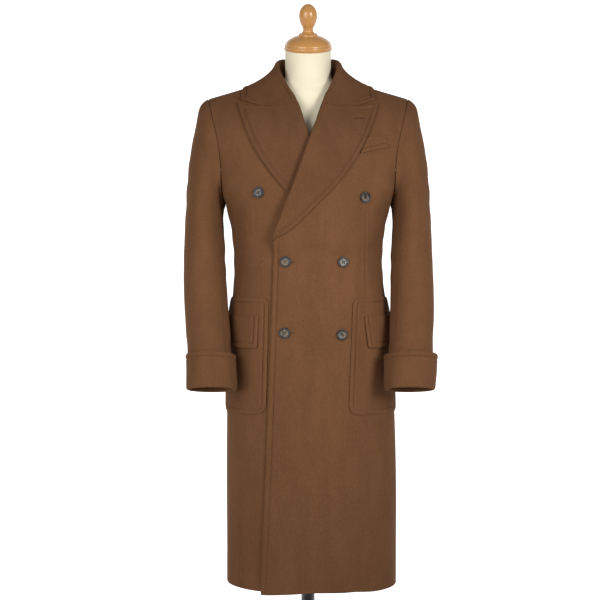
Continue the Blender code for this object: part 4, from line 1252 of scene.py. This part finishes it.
def make_lapel(side, wool):
    """The turned front that shows as a peak lapel."""
    points = soft_grid([fall_across(side, row) for row in LAPEL_ROWS], *LAPEL_STEPS)
    grid = fine_grid(points, *GRIDS["lapel"])
    shown = np.s_[:, grid.shape[1] // 2:]
    wall = Wall(grid, CHEST_CENTRE, shown, seat=0.5, band=LAPEL_BAND)
    if side > 0:
        make_buttonhole(wall, shown, *LAPEL_BUTTONHOLE)
    return make_mesh([wall], wool)


def turned_section(seam, fold, middle, edge):
    """Points across a collar that rises from its seam, turns at its fold and falls to its edge."""
    up = fold - seam
    up_unit = unit(up)
    away = edge - fold
    away = unit(away - up_unit * away.dot(up_unit))
    points = [seam] + [seam + up * share + away * out for share, out in STAND_POINTS]
    start = fold + away * FOLD_END[0] - up_unit * FOLD_END[1]
    points.append(start)
    shoulder = start + (middle - start) * np.array((FALL_EASE[0], FALL_EASE[0], FALL_EASE[1]))
    for share in FALL_SHARES:
        rest = 1.0 - share
        points.append(start * rest ** 3 + shoulder * (3.0 * rest * rest * share)
                      + middle * (3.0 * rest * share * share) + edge * share ** 3)
    return np.array(points)


def collar_section(side, row):
    seam_x, seam_rise, fold_x, fold_y, fold_z, mid_x, mid_rise, lift, edge_at, edge_rise = row
    seam = on_yoke(side * seam_x, seam_rise)
    toward = unit(on_yoke(side * mid_x, mid_rise) - seam)
    shift = np.array((float(lean(seam[2])), 0.0, 0.0))
    seam = seam - toward * (CLOTH / 2.0 + SEAM + COLLAR_SEAM_EASE) + shift
    fold = np.array((side * fold_x + float(lean(fold_z)), fold_y, fold_z))
    rest = PLY + CLOTH / 2.0 + LAPEL_STANDOFF
    middle = on_yoke(side * mid_x, mid_rise, rest + lift)
    return turned_section(seam, fold, middle, on_yoke(side * edge_at, edge_rise, rest - COLLAR_EDGE_DROP))


def make_collar(wool):
    """The stand and the fall, one folded piece round the neck."""
    left = [collar_section(1, row) for row in COLLAR_ROWS] + [fall_across(1, LAPEL_ROWS[-1], True)]
    right = [collar_section(-1, row) for row in COLLAR_ROWS[1:]] + [fall_across(-1, LAPEL_ROWS[-1], True)]
    grid = fine_grid(soft_grid(right[::-1] + left, *COLLAR_STEPS), *GRIDS["collar"])
    shown = np.s_[:, grid.shape[1] // 2:]
    return make_mesh([Wall(grid, CHEST_CENTRE, shown, seat=0.5, band=COLLAR_BAND)], wool)


def corner_pull(rise, radius):
    """How far a round corner draws the side in at heights above its end."""
    tuck = np.clip(1.0 - rise / radius, 0.0, 1.0)
    return radius * (1.0 - np.sqrt(1.0 - tuck * tuck))


def patch(side, limits, inner_x, outer_angle, corners, out):
    """A sewn-on patch's grid; out is how far its foot and its top lie out from the front."""
    low, high = limits
    low_corner, high_corner = corners
    rows, columns = PATCH_STEPS
    turn = np.cos(np.linspace(0.0, pi / 2.0, CORNER_STEPS))
    heights = np.concatenate([low + low_corner * (1.0 - turn),
                              np.linspace(low + low_corner, high - high_corner, rows)[1:-1],
                              high - high_corner * (1.0 - turn[::-1])])
    pull = corner_pull(heights - low, low_corner) + corner_pull(high - heights, high_corner)
    foot_x, top_x = inner_x[side]
    slant = foot_x + (top_x - foot_x) * (heights - low) / (high - low)
    levels = heights - ARMPIT_Z
    start = outer_angle - np.degrees(pull / SIDE_RADIUS)
    end = angle_for_x(slant + pull - side * drift(heights), levels)
    angles = start[:, None] + (end - start)[:, None] * np.linspace(0.0, 1.0, columns)[None]
    level_grid = np.broadcast_to(levels[:, None], angles.shape)
    plain = body(-1, side * angles, level_grid)
    foot_out, top_out = out
    rest = foot_out + (top_out - foot_out) * ((heights - low) / (high - low))[:, None]
    return body(-1, side * angles, level_grid, front_raise(side, plain[..., 0], plain[..., 2]) + rest)


def make_pocket(side, wool):
    points = patch(side, POCKET_Z, POCKET_INNER_X, POCKET_OUTER_ANGLE, POCKET_CORNERS, (PLY, PLY))
    grid = fine_grid(points, *GRIDS["pocket"])
    return make_mesh([Wall(grid, CHEST_CENTRE, band=("left", "low", "right", "high"))], wool)


def make_flap(side, wool):
    points = patch(side, FLAP_Z, FLAP_INNER_X, FLAP_OUTER_ANGLE, FLAP_CORNERS,
                   (2.0 * PLY + FLAP_LIFT, 2.0 * PLY))
    grid = fine_grid(points, *GRIDS["flap"])
    return make_mesh([Wall(grid, CHEST_CENTRE, band=("left", "low", "right"))], wool)


def make_welt(wool):
    low_left, low_right, high_right, high_left = np.array(WELT_CORNERS)
    rows, columns = WELT_STEPS
    across = np.linspace(0.0, 1.0, columns)[None, :, None]
    up = np.linspace(0.0, 1.0, rows)[:, None, None]
    low = low_left + (low_right - low_left) * across
    high = high_left + (high_right - high_left) * across
    flat = low + (high - low) * up
    points = on_front(1, flat[..., 0], flat[..., 1], PLY + WELT_LIFT * (1.0 - WELT_TOP_DROP * up[..., 0]))
    return make_mesh([Wall(fine_grid(points, *GRIDS["welt"]), CHEST_CENTRE, band=("low",))], wool)


def sew_slit(spots, across, normals):
    """Two close rows of stitches along a slit; across is the way from one row to the other."""
    for sign in (-1.0, 1.0):
        lay_stitches(spots + across * sign * BUTTONHOLE_HALF, across * BUTTONHOLE_HALF * BUTTONHOLE_REACH,
                     normals, BUTTONHOLE_PITCH * BUTTONHOLE_THREAD)


def make_buttonhole(wall, shown, x, z, length, slope):
    """The lapel's buttonhole."""
    count = int(length / BUTTONHOLE_PITCH)
    along = np.linspace(0.0, length, count)
    x_line = x + along * cos(slope)
    z_line = z + along * sin(slope)
    spots, normals = wall.spot(x_line, z_line, shown)
    sew_slit(spots, np.cross(unit(np.gradient(spots, axis=0)), normals), normals)


class Lathe:
    """A round solid through closed rings of points."""

    def __init__(self, rows):
        """rows are closed rings of points; the first and last ring shrink to a point."""
        count = rows.shape[1]
        middles = rows.mean(axis=1)
        inner = rows[1:-1]
        number = 1 + np.arange(inner.shape[0] * count).reshape(inner.shape[:2])
        last = 1 + inner.shape[0] * count
        self.points = np.vstack([middles[:1], inner.reshape(-1, 3), middles[-1:]])
        right = np.roll(number, -1, axis=1)
        quads = grid_faces(number, True, False).tolist()
        low = [(0, int(b), int(a)) for a, b in zip(number[0], right[0])]
        high = [(last, int(a), int(b)) for a, b in zip(number[-1], right[-1])]
        self.faces = low + quads + high


def full_turn(sides):
    return np.linspace(0.0, 2.0 * pi, sides, endpoint=False)


def moved(points, place):
    """Points moved and turned by a matrix."""
    return points @ np.array(place.to_3x3()).T + np.array(place.translation)


def ring_rows(profile, sides):
    """Rings of points round +Z from rows of radius and height, from the foot up."""
    turn = full_turn(sides)
    profile = np.array(profile)
    return np.stack([profile[:, :1] * np.cos(turn)[None], profile[:, :1] * np.sin(turn)[None],
                     np.broadcast_to(profile[:, 1:], (len(profile), sides))], axis=-1)


def rounded_profile(profile, count):
    """A profile with more points, on a soft curve through its own."""
    profile = np.array(profile)[:, None]
    return look_up(profile, np.linspace(0.0, len(profile) - 1.0, count), np.zeros(count))


def button_place(x, z, front):
    """The matrix that lays a button on its front, its face outward."""
    side = 1 if front == "left" else -1
    reach = np.array((-BUTTON_RADIUS, BUTTON_RADIUS))
    ends_x = on_front(side, side * x + reach, z)
    ends_z = on_front(side, side * x, z + reach)
    normal = Vector(np.cross((ends_x[1] - ends_x[0]) * side, ends_z[1] - ends_z[0])).normalized()
    spot = Vector(on_front(side, side * x, z)) + normal * (CLOTH + BUTTON_STANDOFF)
    return Matrix.Translation(spot) @ normal.to_track_quat("Z", "Y").to_matrix().to_4x4()


def make_button(place, horn):
    """A turned horn button with a raised rim and four holes."""
    stations, sides = BUTTON_STEPS
    profile = [(BUTTON_RADIUS * out, BUTTON_THICK * up) for out, up in BUTTON_PROFILE]
    rows = ring_rows(rounded_profile(profile, stations), sides)
    sink = np.zeros(rows.shape[:2])
    for hole_x, hole_y in BUTTON_HOLES:
        apart = np.hypot(rows[..., 0] - hole_x, rows[..., 1] - hole_y)
        sink = np.maximum(sink, 1.0 - ease(BUTTON_HOLE * HOLE_WALL[0], BUTTON_HOLE * HOLE_WALL[1], apart))
    top = rows[..., 2] > BUTTON_THICK * HOLE_LEAST_UP
    rows[..., 2] -= BUTTON_THICK * HOLE_DEPTH * sink * top
    return make_mesh([Lathe(moved(rows, place))], horn)


def make_threads(place, thread):
    """Two strands of thread through each pair of a button's holes."""
    strands = []
    for first, second in ((0, 1), (3, 2)):
        for shift in (-THREAD_SHIFT, THREAD_SHIFT):
            strands.append(strand(BUTTON_HOLES[first], BUTTON_HOLES[second], shift * BUTTON_HOLE, place))
    return make_mesh(strands, thread)


def strand(start, end, shift, place):
    """A bowed strand of thread from hole to hole."""
    start = np.array(start)
    end = np.array(end)
    stations, sides = THREAD_STEPS
    run = (end - start) / np.linalg.norm(end - start)
    across = np.array((-run[1], run[0]))
    shares = np.linspace(0.0, 1.0, stations)
    centre = start + (end - start) * shares[:, None] + across * shift
    dive = THREAD_DIVE * np.abs(2.0 * shares - 1.0) ** THREAD_DIVE_POWER
    height = BUTTON_THICK * BUTTON_WELL + THREAD_RADIUS * THREAD_OUT - dive
    round_x = np.cos(full_turn(sides)) * THREAD_RADIUS
    round_z = np.sin(full_turn(sides)) * THREAD_RADIUS
    rows = np.stack([centre[:, :1] + across[0] * round_x[None], centre[:, 1:] + across[1] * round_x[None],
                     height[:, None] + round_z[None]], axis=-1)
    rows = moved(rows, place)
    return Lathe(np.concatenate([rows[:1], rows, rows[-1:]]))


def oval_ring(z, half_width, front, back, squareness, centre_y, turns, tilt=0.0):
    """A ring of the form at one height; front and back may have different depths."""
    across = np.abs(np.cos(turns)) ** (2.0 / squareness) * np.sign(np.cos(turns))
    along = np.abs(np.sin(turns)) ** (2.0 / squareness) * np.sign(np.sin(turns))
    y = np.where(along > 0.0, back, front) * along
    return np.stack([half_width * across, centre_y + y * cos(tilt), z + y * sin(tilt)], axis=-1)


def make_form(cover):
    """The torso and its covered neck."""
    stations, sides = FORM_STEPS
    turns = full_turn(sides)
    rows = [oval_ring(*row, turns) for row in FORM_RINGS]
    for x, front, back, squareness in FORM_RIDGE:
        z = shoulder_height(x) - FORM_RIDGE_CLEAR
        rows.append(oval_ring(z, x, front, back, squareness, SHOULDER_Y, turns))
    for z, radius in NECK_RINGS:
        rows.append(oval_ring(z, radius, radius, radius, 2.0, FORM_AXIS_Y, turns))
    round_top = (NECK_TOP_RADIUS,) * 3
    top = oval_ring(CAP_Z, *round_top, 2.0, FORM_AXIS_Y, turns, CAP_TILT)
    below = top - (top - rows[-1]) * (NECK_EDGE / (CAP_Z - NECK_RINGS[-1][0]))
    middle = top.mean(axis=0)
    rows += [below, top + (middle - top) * (NECK_EDGE / NECK_TOP_RADIUS)]
    fine = soft_grid(rows, stations, sides)
    start, full, full_end, end = FORM_SOFT_Z
    soft = (ease(start, full, fine[..., 2]) * (1.0 - ease(full_end, end, fine[..., 2])))[1:-1, :, None]
    for _ in range(FORM_SOFTENING_ROUNDS):
        beside = np.roll(fine, 1, axis=1)[1:-1] + np.roll(fine, -1, axis=1)[1:-1]
        mean = (beside + fine[2:] + fine[:-2]) / 4.0
        fine[1:-1] += (mean - fine[1:-1]) * soft
    caps = [np.broadcast_to(ring.mean(axis=0), ring.shape) for ring in (fine[0], fine[-1])]
    return make_mesh([Lathe(np.concatenate([caps[:1], fine, caps[1:]]))], cover)


def make_turned(profile, sides, finish, place=Matrix.Identity(4)):
    return make_mesh([Lathe(moved(ring_rows(profile, sides), place))], finish)


def make_stitches(thread):
    """All the hand and machine stitches as one piece."""
    spots = np.concatenate(sewn)
    corners = ((0, 2, 4), (2, 1, 4), (1, 3, 4), (3, 0, 4), (2, 0, 5), (1, 2, 5), (3, 1, 5), (0, 3, 5))
    faces = (np.arange(len(spots))[:, None, None] * 6 + np.array(corners)[None]).reshape(-1, 3)
    return add_piece(spots.reshape(-1, 3).tolist(), faces.tolist(), thread)


def new_group(name, inputs, outputs):
    """A shader node group; returns its tree, input node and output node."""
    tree = bpy.data.node_groups.new(name, "ShaderNodeTree")
    for socket, kind, value in inputs:
        made = tree.interface.new_socket(socket, in_out="INPUT", socket_type=kind)
        if value is not None:
            made.default_value = value
    for socket, kind in outputs:
        tree.interface.new_socket(socket, in_out="OUTPUT", socket_type=kind)
    return tree, tree.nodes.new("NodeGroupInput"), tree.nodes.new("NodeGroupOutput")


def add(tree, kind, settings=None, **inputs):
    """A node with its settings and inputs, each a value or a socket; i0 is the first input."""
    made = tree.nodes.new(kind)
    for key, value in (settings or {}).items():
        setattr(made, key, value)
    for key, value in inputs.items():
        numbered = key[0] == "i" and key[1:].isdigit()
        socket = made.inputs[int(key[1:]) if numbered else key.replace("_", " ")]
        if isinstance(value, bpy.types.NodeSocket):
            tree.links.new(value, socket)
        else:
            socket.default_value = value
    return made


def maths(tree, operation, first, second=0.0):
    return add(tree, "ShaderNodeMath", {"operation": operation}, i0=first, i1=second).outputs[0]


def weighted(tree, *parts):
    """The sum of values, each times its weight."""
    total = None
    for value, weight in parts:
        part = maths(tree, "MULTIPLY", value, weight)
        total = part if total is None else maths(tree, "ADD", total, part)
    return total


def bent_place(tree, place, scale, reach):
    """A place shifted by soft noise, so that what is drawn there isn't straight."""
    warp = add(tree, "ShaderNodeTexNoise", None, Vector=place, Scale=scale, Detail=2.0)
    return add(tree, "ShaderNodeVectorMath", {"operation": "MULTIPLY_ADD"}, i0=warp.outputs["Color"],
               i1=reach, i2=place).outputs[0]


def noise(tree, place, scale, detail=2.0, stretch=None, roughness=0.5):
    """A noise value at a place; stretch scales its three directions."""
    if stretch is not None:
        place = add(tree, "ShaderNodeMapping", None, Vector=place, Scale=stretch).outputs[0]
    return add(tree, "ShaderNodeTexNoise", None, Vector=place, Scale=scale, Detail=detail,
               Roughness=roughness).outputs["Fac"]


def level_between(tree, value, low, high, to_low=0.0, to_high=1.0):
    """A value changed from one range to another, with a soft step."""
    made = add(tree, "ShaderNodeMapRange", {"interpolation_type": "SMOOTHSTEP"}, Value=value)
    for socket, number in (("From Min", low), ("From Max", high), ("To Min", to_low), ("To Max", to_high)):
        made.inputs[socket].default_value = number
    return made.outputs[0]


def nap_group():
    """Felted wool: brushed fibres that run down the cloth, soft mottling and stray pale hairs."""
    tree, ends, out = new_group("Brushed wool", (("Place", "NodeSocketVector", None),),
                                (("Shade", "NodeSocketFloat"), ("Hairs", "NodeSocketFloat"),
                                 ("Height", "NodeSocketFloat")))
    place = ends.outputs["Place"]
    bent = bent_place(tree, place, 160.0, (0.0016, 0.0016, 0.0004))
    fibres = noise(tree, bent, scale=1500.0, detail=3.0, stretch=(1.0, 1.0, 0.16), roughness=0.6)
    tufts = noise(tree, bent, scale=430.0, detail=3.0, stretch=(1.0, 1.0, 0.45), roughness=0.55)
    clouds = noise(tree, place, scale=30.0, detail=4.0, stretch=(1.0, 1.0, 0.28), roughness=0.55)
    broad = noise(tree, place, scale=6.0)
    hairs = noise(tree, bent, scale=900.0, stretch=(1.0, 1.0, 0.09))
    shade = weighted(tree, (fibres, 0.36), (tufts, 0.30), (clouds, 0.24), (broad, 0.10))
    height = weighted(tree, (fibres, 0.45), (tufts, 0.55))
    tree.links.new(level_between(tree, shade, 0.40, 0.60), out.inputs["Shade"])
    tree.links.new(level_between(tree, hairs, 0.64, 0.74), out.inputs["Hairs"])
    tree.links.new(height, out.inputs["Height"])
    return tree


def principled(name, colour, roughness, **constants):
    """A material and its shader with constants on the shader's own sockets."""
    finish = bpy.data.materials.new(name)
    finish.use_nodes = True
    shader = finish.node_tree.nodes["Principled BSDF"]
    shader.inputs["Base Color"].default_value = (*colour, 1.0)
    shader.inputs["Roughness"].default_value = roughness
    finish.diffuse_color = (*colour, 1.0)
    for key, value in constants.items():
        shader.inputs[key.replace("_", " ")].default_value = value
    return finish, finish.node_tree, shader


def object_place(tree):
    return add(tree, "ShaderNodeTexCoord").outputs["Object"]


def set_look(tree, shader, colour, roughness=None):
    """The sockets that give the shader its colour and its roughness."""
    tree.links.new(colour, shader.inputs["Base Color"])
    if roughness is not None:
        tree.links.new(roughness, shader.inputs["Roughness"])


def blend(tree, share, first, second):
    """Two colours mixed by a share; each is a colour or a socket."""
    made = add(tree, "ShaderNodeMix", {"data_type": "RGBA"})
    for socket, value in ((made.inputs[0], share), (made.inputs[6], first), (made.inputs[7], second)):
        if isinstance(value, bpy.types.NodeSocket):
            tree.links.new(value, socket)
        elif isinstance(value, tuple):
            socket.default_value = (*value, 1.0)
        else:
            socket.default_value = value
    return made.outputs[2]


def bump(tree, shader, height, distance, strength=1.0):
    made = add(tree, "ShaderNodeBump", None, Height=height, Distance=distance, Strength=strength)
    tree.links.new(made.outputs[0], shader.inputs["Normal"])


def tone(colour, share):
    return tuple(channel * share for channel in colour)


def wool_finish(name, colour, nap):
    """Napped wool coating, a little darker where the nap opens and with paler hairs on top."""
    finish, tree, shader = principled(name, colour, 0.92, Sheen_Weight=0.12, Sheen_Roughness=0.40,
                                      Sheen_Tint=(0.62, 0.38, 0.22, 1.0), Specular_IOR_Level=0.08)
    group = tree.nodes.new("ShaderNodeGroup")
    group.node_tree = nap
    tree.links.new(object_place(tree), group.inputs["Place"])
    felt = blend(tree, group.outputs["Shade"], tone(colour, 0.86), tone(colour, 1.12))
    hairy = blend(tree, maths(tree, "MULTIPLY", group.outputs["Hairs"], 0.40), felt, tone(colour, 1.6))
    set_look(tree, shader, hairy, level_between(tree, group.outputs["Shade"], 0.0, 1.0, 0.96, 0.86))
    bump(tree, shader, group.outputs["Height"], 0.0006, 0.55)
    return finish


def thread_finish(name, colour):
    finish, tree, shader = principled(name, colour, 0.6, Specular_IOR_Level=0.3)
    twist = noise(tree, object_place(tree), scale=2600.0)
    set_look(tree, shader, blend(tree, twist, tone(colour, 0.7), tone(colour, 1.25)))
    bump(tree, shader, twist, 0.0002, 0.5)
    return finish


def horn_finish(name):
    """Polished horn: blue-grey clouds in near black, with brown streaks round the middle."""
    finish, tree, shader = principled(name, HORN_DARK, 0.38, Coat_Weight=0.10, Coat_Roughness=0.30,
                                      Specular_IOR_Level=0.35)
    place = object_place(tree)
    clouds = noise(tree, place, scale=105.0, detail=5.0, stretch=(1.0, 1.0, 1.0), roughness=0.6)
    streaks = noise(tree, place, scale=160.0, detail=4.0, stretch=(1.0, 1.0, 0.35), roughness=0.6)
    base = blend(tree, level_between(tree, clouds, 0.36, 0.62), HORN_DARK, HORN_GREY)
    in_box = add(tree, "ShaderNodeTexCoord").outputs["Generated"]
    from_middle = add(tree, "ShaderNodeVectorMath", {"operation": "MULTIPLY_ADD"}, i0=in_box,
                      i1=(2.0, 0.0, 2.0), i2=(-1.0, 0.0, -1.0)).outputs[0]
    distance = add(tree, "ShaderNodeVectorMath", {"operation": "LENGTH"}, i0=from_middle).outputs["Value"]
    inside = level_between(tree, distance, 0.52, 0.76, 1.0, 0.12)
    brown_share = maths(tree, "MULTIPLY", level_between(tree, streaks, 0.40, 0.60), inside)
    mottled = blend(tree, maths(tree, "MULTIPLY", brown_share, 0.85), base, HORN_BROWN)
    set_look(tree, shader, mottled, level_between(tree, streaks, 0.3, 0.7, 0.34, 0.50))
    bump(tree, shader, noise(tree, place, scale=700.0, detail=3.0), 0.0001, 0.3)
    return finish


def wood_finish(name):
    """Waxed honey beech: growth rings, fine pores and a warm glaze."""
    finish, tree, shader = principled(name, WOOD, 0.32, Coat_Weight=0.45, Coat_Roughness=0.15)
    place = object_place(tree)
    rings = add(tree, "ShaderNodeTexWave", {"wave_type": "BANDS", "bands_direction": "X"},
                Vector=bent_place(tree, place, 14.0, (0.010, 0.010, 0.004)),
                Scale=58.0, Distortion=2.5, Detail=3.0).outputs["Fac"]
    pores = noise(tree, place, scale=1300.0, stretch=(1.0, 1.0, 0.10), roughness=0.6)
    grain = blend(tree, rings, tone(WOOD, 0.93), tone(WOOD, 1.06))
    pore_share = maths(tree, "MULTIPLY", level_between(tree, pores, 0.60, 0.72), 0.45)
    set_look(tree, shader, blend(tree, pore_share, grain, tone(WOOD, 0.5)),
             level_between(tree, rings, 0.0, 1.0, 0.32, 0.42))
    bump(tree, shader, pores, 0.0001, 0.25)
    return finish


def cover_finish(name):
    """Cream cotton jersey stretched over the form."""
    finish, tree, shader = principled(name, COVER, 0.85, Sheen_Weight=0.15, Specular_IOR_Level=0.2)
    place = object_place(tree)
    turned = add(tree, "ShaderNodeMapping", None, Vector=place, Rotation=(0.0, 0.0, 0.7)).outputs[0]
    ribs = [add(tree, "ShaderNodeTexWave", {"bands_direction": way}, Vector=turned, Scale=scale,
                Distortion=0.6, Detail=1.0).outputs["Fac"] for way, scale in (("X", 260.0), ("Z", 300.0))]
    knit = maths(tree, "MULTIPLY", *ribs)
    shade = weighted(tree, (knit, 0.35), (noise(tree, place, scale=40.0, detail=3.0), 0.5))
    set_look(tree, shader, blend(tree, shade, tone(COVER, 0.90), tone(COVER, 1.03)))
    bump(tree, shader, knit, 0.0002, 0.35)
    return finish


def iron_finish(name):
    """Dark painted metal with faint orange peel and paler scuffs."""
    finish, tree, shader = principled(name, IRON, 0.42, Metallic=0.0, Coat_Weight=0.15, Coat_Roughness=0.3)
    place = object_place(tree)
    rubbed = noise(tree, place, scale=24.0, detail=6.0, stretch=(1.0, 1.0, 0.4), roughness=0.65)
    scuffs = level_between(tree, rubbed, 0.60, 0.72)
    paint = blend(tree, maths(tree, "MULTIPLY", scuffs, 0.5), IRON, tone(IRON, 2.4))
    set_look(tree, shader, paint, level_between(tree, scuffs, 0.0, 1.0, 0.38, 0.58))
    bump(tree, shader, noise(tree, place, scale=380.0, detail=3.0), 0.0003, 0.25)
    return finish


def wear(thing, name, slot, *nodes):
    """The piece gets its name, rides on the one body and stands for its solids."""
    thing.name = name
    thing.data.name = name
    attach(thing, "root")
    if nodes:
        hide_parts(*nodes)


def cloth(node, thing, held, *rests_on):
    """A sewn piece, named after its solid and riding on the body in its place."""
    wear(thing, f"{node}_cloth", "wool", node)


def dress():
    """Every sewn piece of the coat, with its stitching and buttons."""
    nap = nap_group()
    wool = wool_finish("Napped brown wool", WOOL, nap)
    # The lapels and the collar wear a darker copy of the wool: painted shade
    lapel_shade_wool = wool_finish("Napped brown wool, painted lapel shade", LAPEL_SHADE_WOOL, nap)
    front_turn = degrees(np.arccos(2.0 * FRONT_SEAM_LEVEL - 1.0))
    hind_turn = degrees(np.arccos(2.0 * HIND_SEAM_LEVEL - 1.0))
    for side, word in ((1, "left"), (-1, "right")):
        cloth(f"front_{word}", make_front(side, wool), "hung", "form_body")
        cloth(f"back_{word}", make_back(side, wool), "hung", "form_body")
        cloth(f"sleeve_{word}_top", make_sleeve(side, -hind_turn, front_turn, wool), "hung")
        cloth(f"sleeve_{word}_under", make_sleeve(side, front_turn, 360.0 - hind_turn, wool), "hung")
        cloth(f"cuff_{word}", make_cuff(side, wool), "folded", f"sleeve_{word}_top")
        cloth(f"lapel_{word}", make_lapel(side, lapel_shade_wool), "folded", f"front_{word}")
        cloth(f"pocket_{word}", make_pocket(side, wool), "laid", f"front_{word}")
        cloth(f"flap_{word}", make_flap(side, wool), "laid", f"pocket_{word}")
    cloth("collar", make_collar(lapel_shade_wool), "folded", "back_left")
    cloth("breast_welt", make_welt(wool), "laid", "front_left")
    for x, z in BUTTONHOLE_TAILS:
        make_tail(x, z)
    wear(make_stitches(thread_finish("Brown silk twist", THREAD)), "edge_stitching", "wool")
    horn = horn_finish("Mottled dark horn")
    dark_thread = thread_finish("Dark button thread", DARK_THREAD)
    for number, spot in enumerate(BUTTON_PLACES, start=1):
        place = button_place(*spot)
        wear(make_button(place, horn), f"button_{number}_horn", "horn", f"button_{number}")
        wear(make_threads(place, dark_thread), f"button_{number}_thread", "wool")


def make_tail(x, z):
    """The visible end of a buttonhole in the wearer's left front, past its button."""
    count = int(TAIL_LENGTH / BUTTONHOLE_PITCH)
    at_x = x + np.linspace(0.0, TAIL_LENGTH, count)
    spots = on_front(1, at_x, np.full(count, z), CLOTH)
    upper = on_front(1, at_x, np.full(count, z + TAIL_SLOPE_STEP), CLOTH)
    across = unit(upper - spots)
    sew_slit(spots, across, np.cross(unit(np.gradient(spots, axis=0)), across))


def stand():
    """The form and its stand."""
    wear(make_form(cover_finish("Cream cotton jersey")), "form_body_cover", "cover", "form_body")
    cap_turn = Matrix.Rotation(CAP_TILT, 4, "X")
    foot = Vector((0.0, FORM_AXIS_Y, CAP_Z)) + cap_turn @ Vector((0.0, 0.0, SEAM))
    stations, sides = CAP_STEPS
    cap = make_turned(rounded_profile(CAP_PROFILE, stations), sides, wood_finish("Waxed honey beech"),
                      Matrix.Translation(foot) @ cap_turn)
    wear(cap, "neck_cap_turned", "wood", "neck_cap")
    iron = iron_finish("Dark painted metal")
    low, high = BASE_PROFILE[0][1] + SEAM, FORM_SOCKET_Z - SEAM
    middle = (low + high) / 2.0
    pole = ((0.0, low), (POLE_RADIUS, low), (POLE_RADIUS, middle), (POLE_RADIUS, high), (0.0, high))
    wear(make_turned(pole, POLE_SIDES, iron), "form_pole_painted", "iron", "form_pole")
    wear(make_turned(BASE_PROFILE[::-1], BASE_SIDES, iron), "form_base_painted", "iron", "form_base")


def backdrop():
    """A pale floor that curves up far behind the coat and glows, painted light that grows towards the back.
    """
    turns = np.linspace(BEND_START_TURN, pi / 2.0, BEND_STEPS)
    bend = [(FLOOR_FRONT_Y, 0.0), (BEND_START_Y, 0.0)]
    bend += [(BEND_START_Y + BEND_RADIUS * sin(turn), BEND_RADIUS * (1.0 - cos(turn))) for turn in turns]
    bend.append((BEND_START_Y + BEND_RADIUS, WALL_HEIGHT))
    points = [(x, y, z - FLOOR_DROP) for y, z in bend for x in (-FLOOR_HALF_WIDTH, FLOOR_HALF_WIDTH)]
    faces = [(2 * k, 2 * k + 1, 2 * k + 3, 2 * k + 2) for k in range(len(bend) - 1)]
    mesh = bpy.data.meshes.new("floor")
    mesh.from_pydata(points, [], faces)
    mesh.shade_smooth()
    finish, tree, shader = principled("Pale floor", FLOOR_GREY, 0.9, Specular_IOR_Level=0.1,
                                      Emission_Strength=BACKDROP_GLOW)
    # Painted light: the floor glows, not at all in front and fully towards the back
    y = add(tree, "ShaderNodeSeparateXYZ", None, Vector=object_place(tree)).outputs["Y"]
    glow = blend(tree, level_between(tree, y, *GLOW_Y), (0.0, 0.0, 0.0), (1.0, 1.0, 1.0))
    tree.links.new(glow, shader.inputs["Emission Color"])
    mesh.materials.append(finish)
    add_to_scene("floor", mesh)


def lights():
    """Even pale surroundings and two soft lights in front."""
    world = bpy.data.worlds.new("Studio")
    bpy.context.scene.world = world
    world.use_nodes = True
    around = world.node_tree.nodes["Background"].inputs
    around["Color"].default_value = (1.0, 1.0, 1.0, 1.0)
    around["Strength"].default_value = WORLD_STRENGTH
    for name, place, aim, size, power in LIGHTS:
        light = bpy.data.lights.new(name, "AREA")
        light.shape = "RECTANGLE"
        light.size, light.size_y = size
        light.energy = power
        light.spread = LIGHT_SPREAD
        lamp = add_to_scene(name, light)
        lamp.location = place
        lamp.rotation_euler = (Vector(aim) - Vector(place)).to_track_quat("-Z", "Y").to_euler()


def camera():
    lens = bpy.data.cameras.new("Camera")
    lens.lens = LENS
    lens.sensor_width = SENSOR
    eye = add_to_scene("Camera", lens)
    eye.location = CAMERA_PLACE
    eye.rotation_euler = (pi / 2.0 - CAMERA_TILT, 0.0, 0.0)
    bpy.context.scene.camera = eye
    bpy.context.scene.view_settings.view_transform = "Standard"


dress()
stand()
backdrop()
lights()
camera()
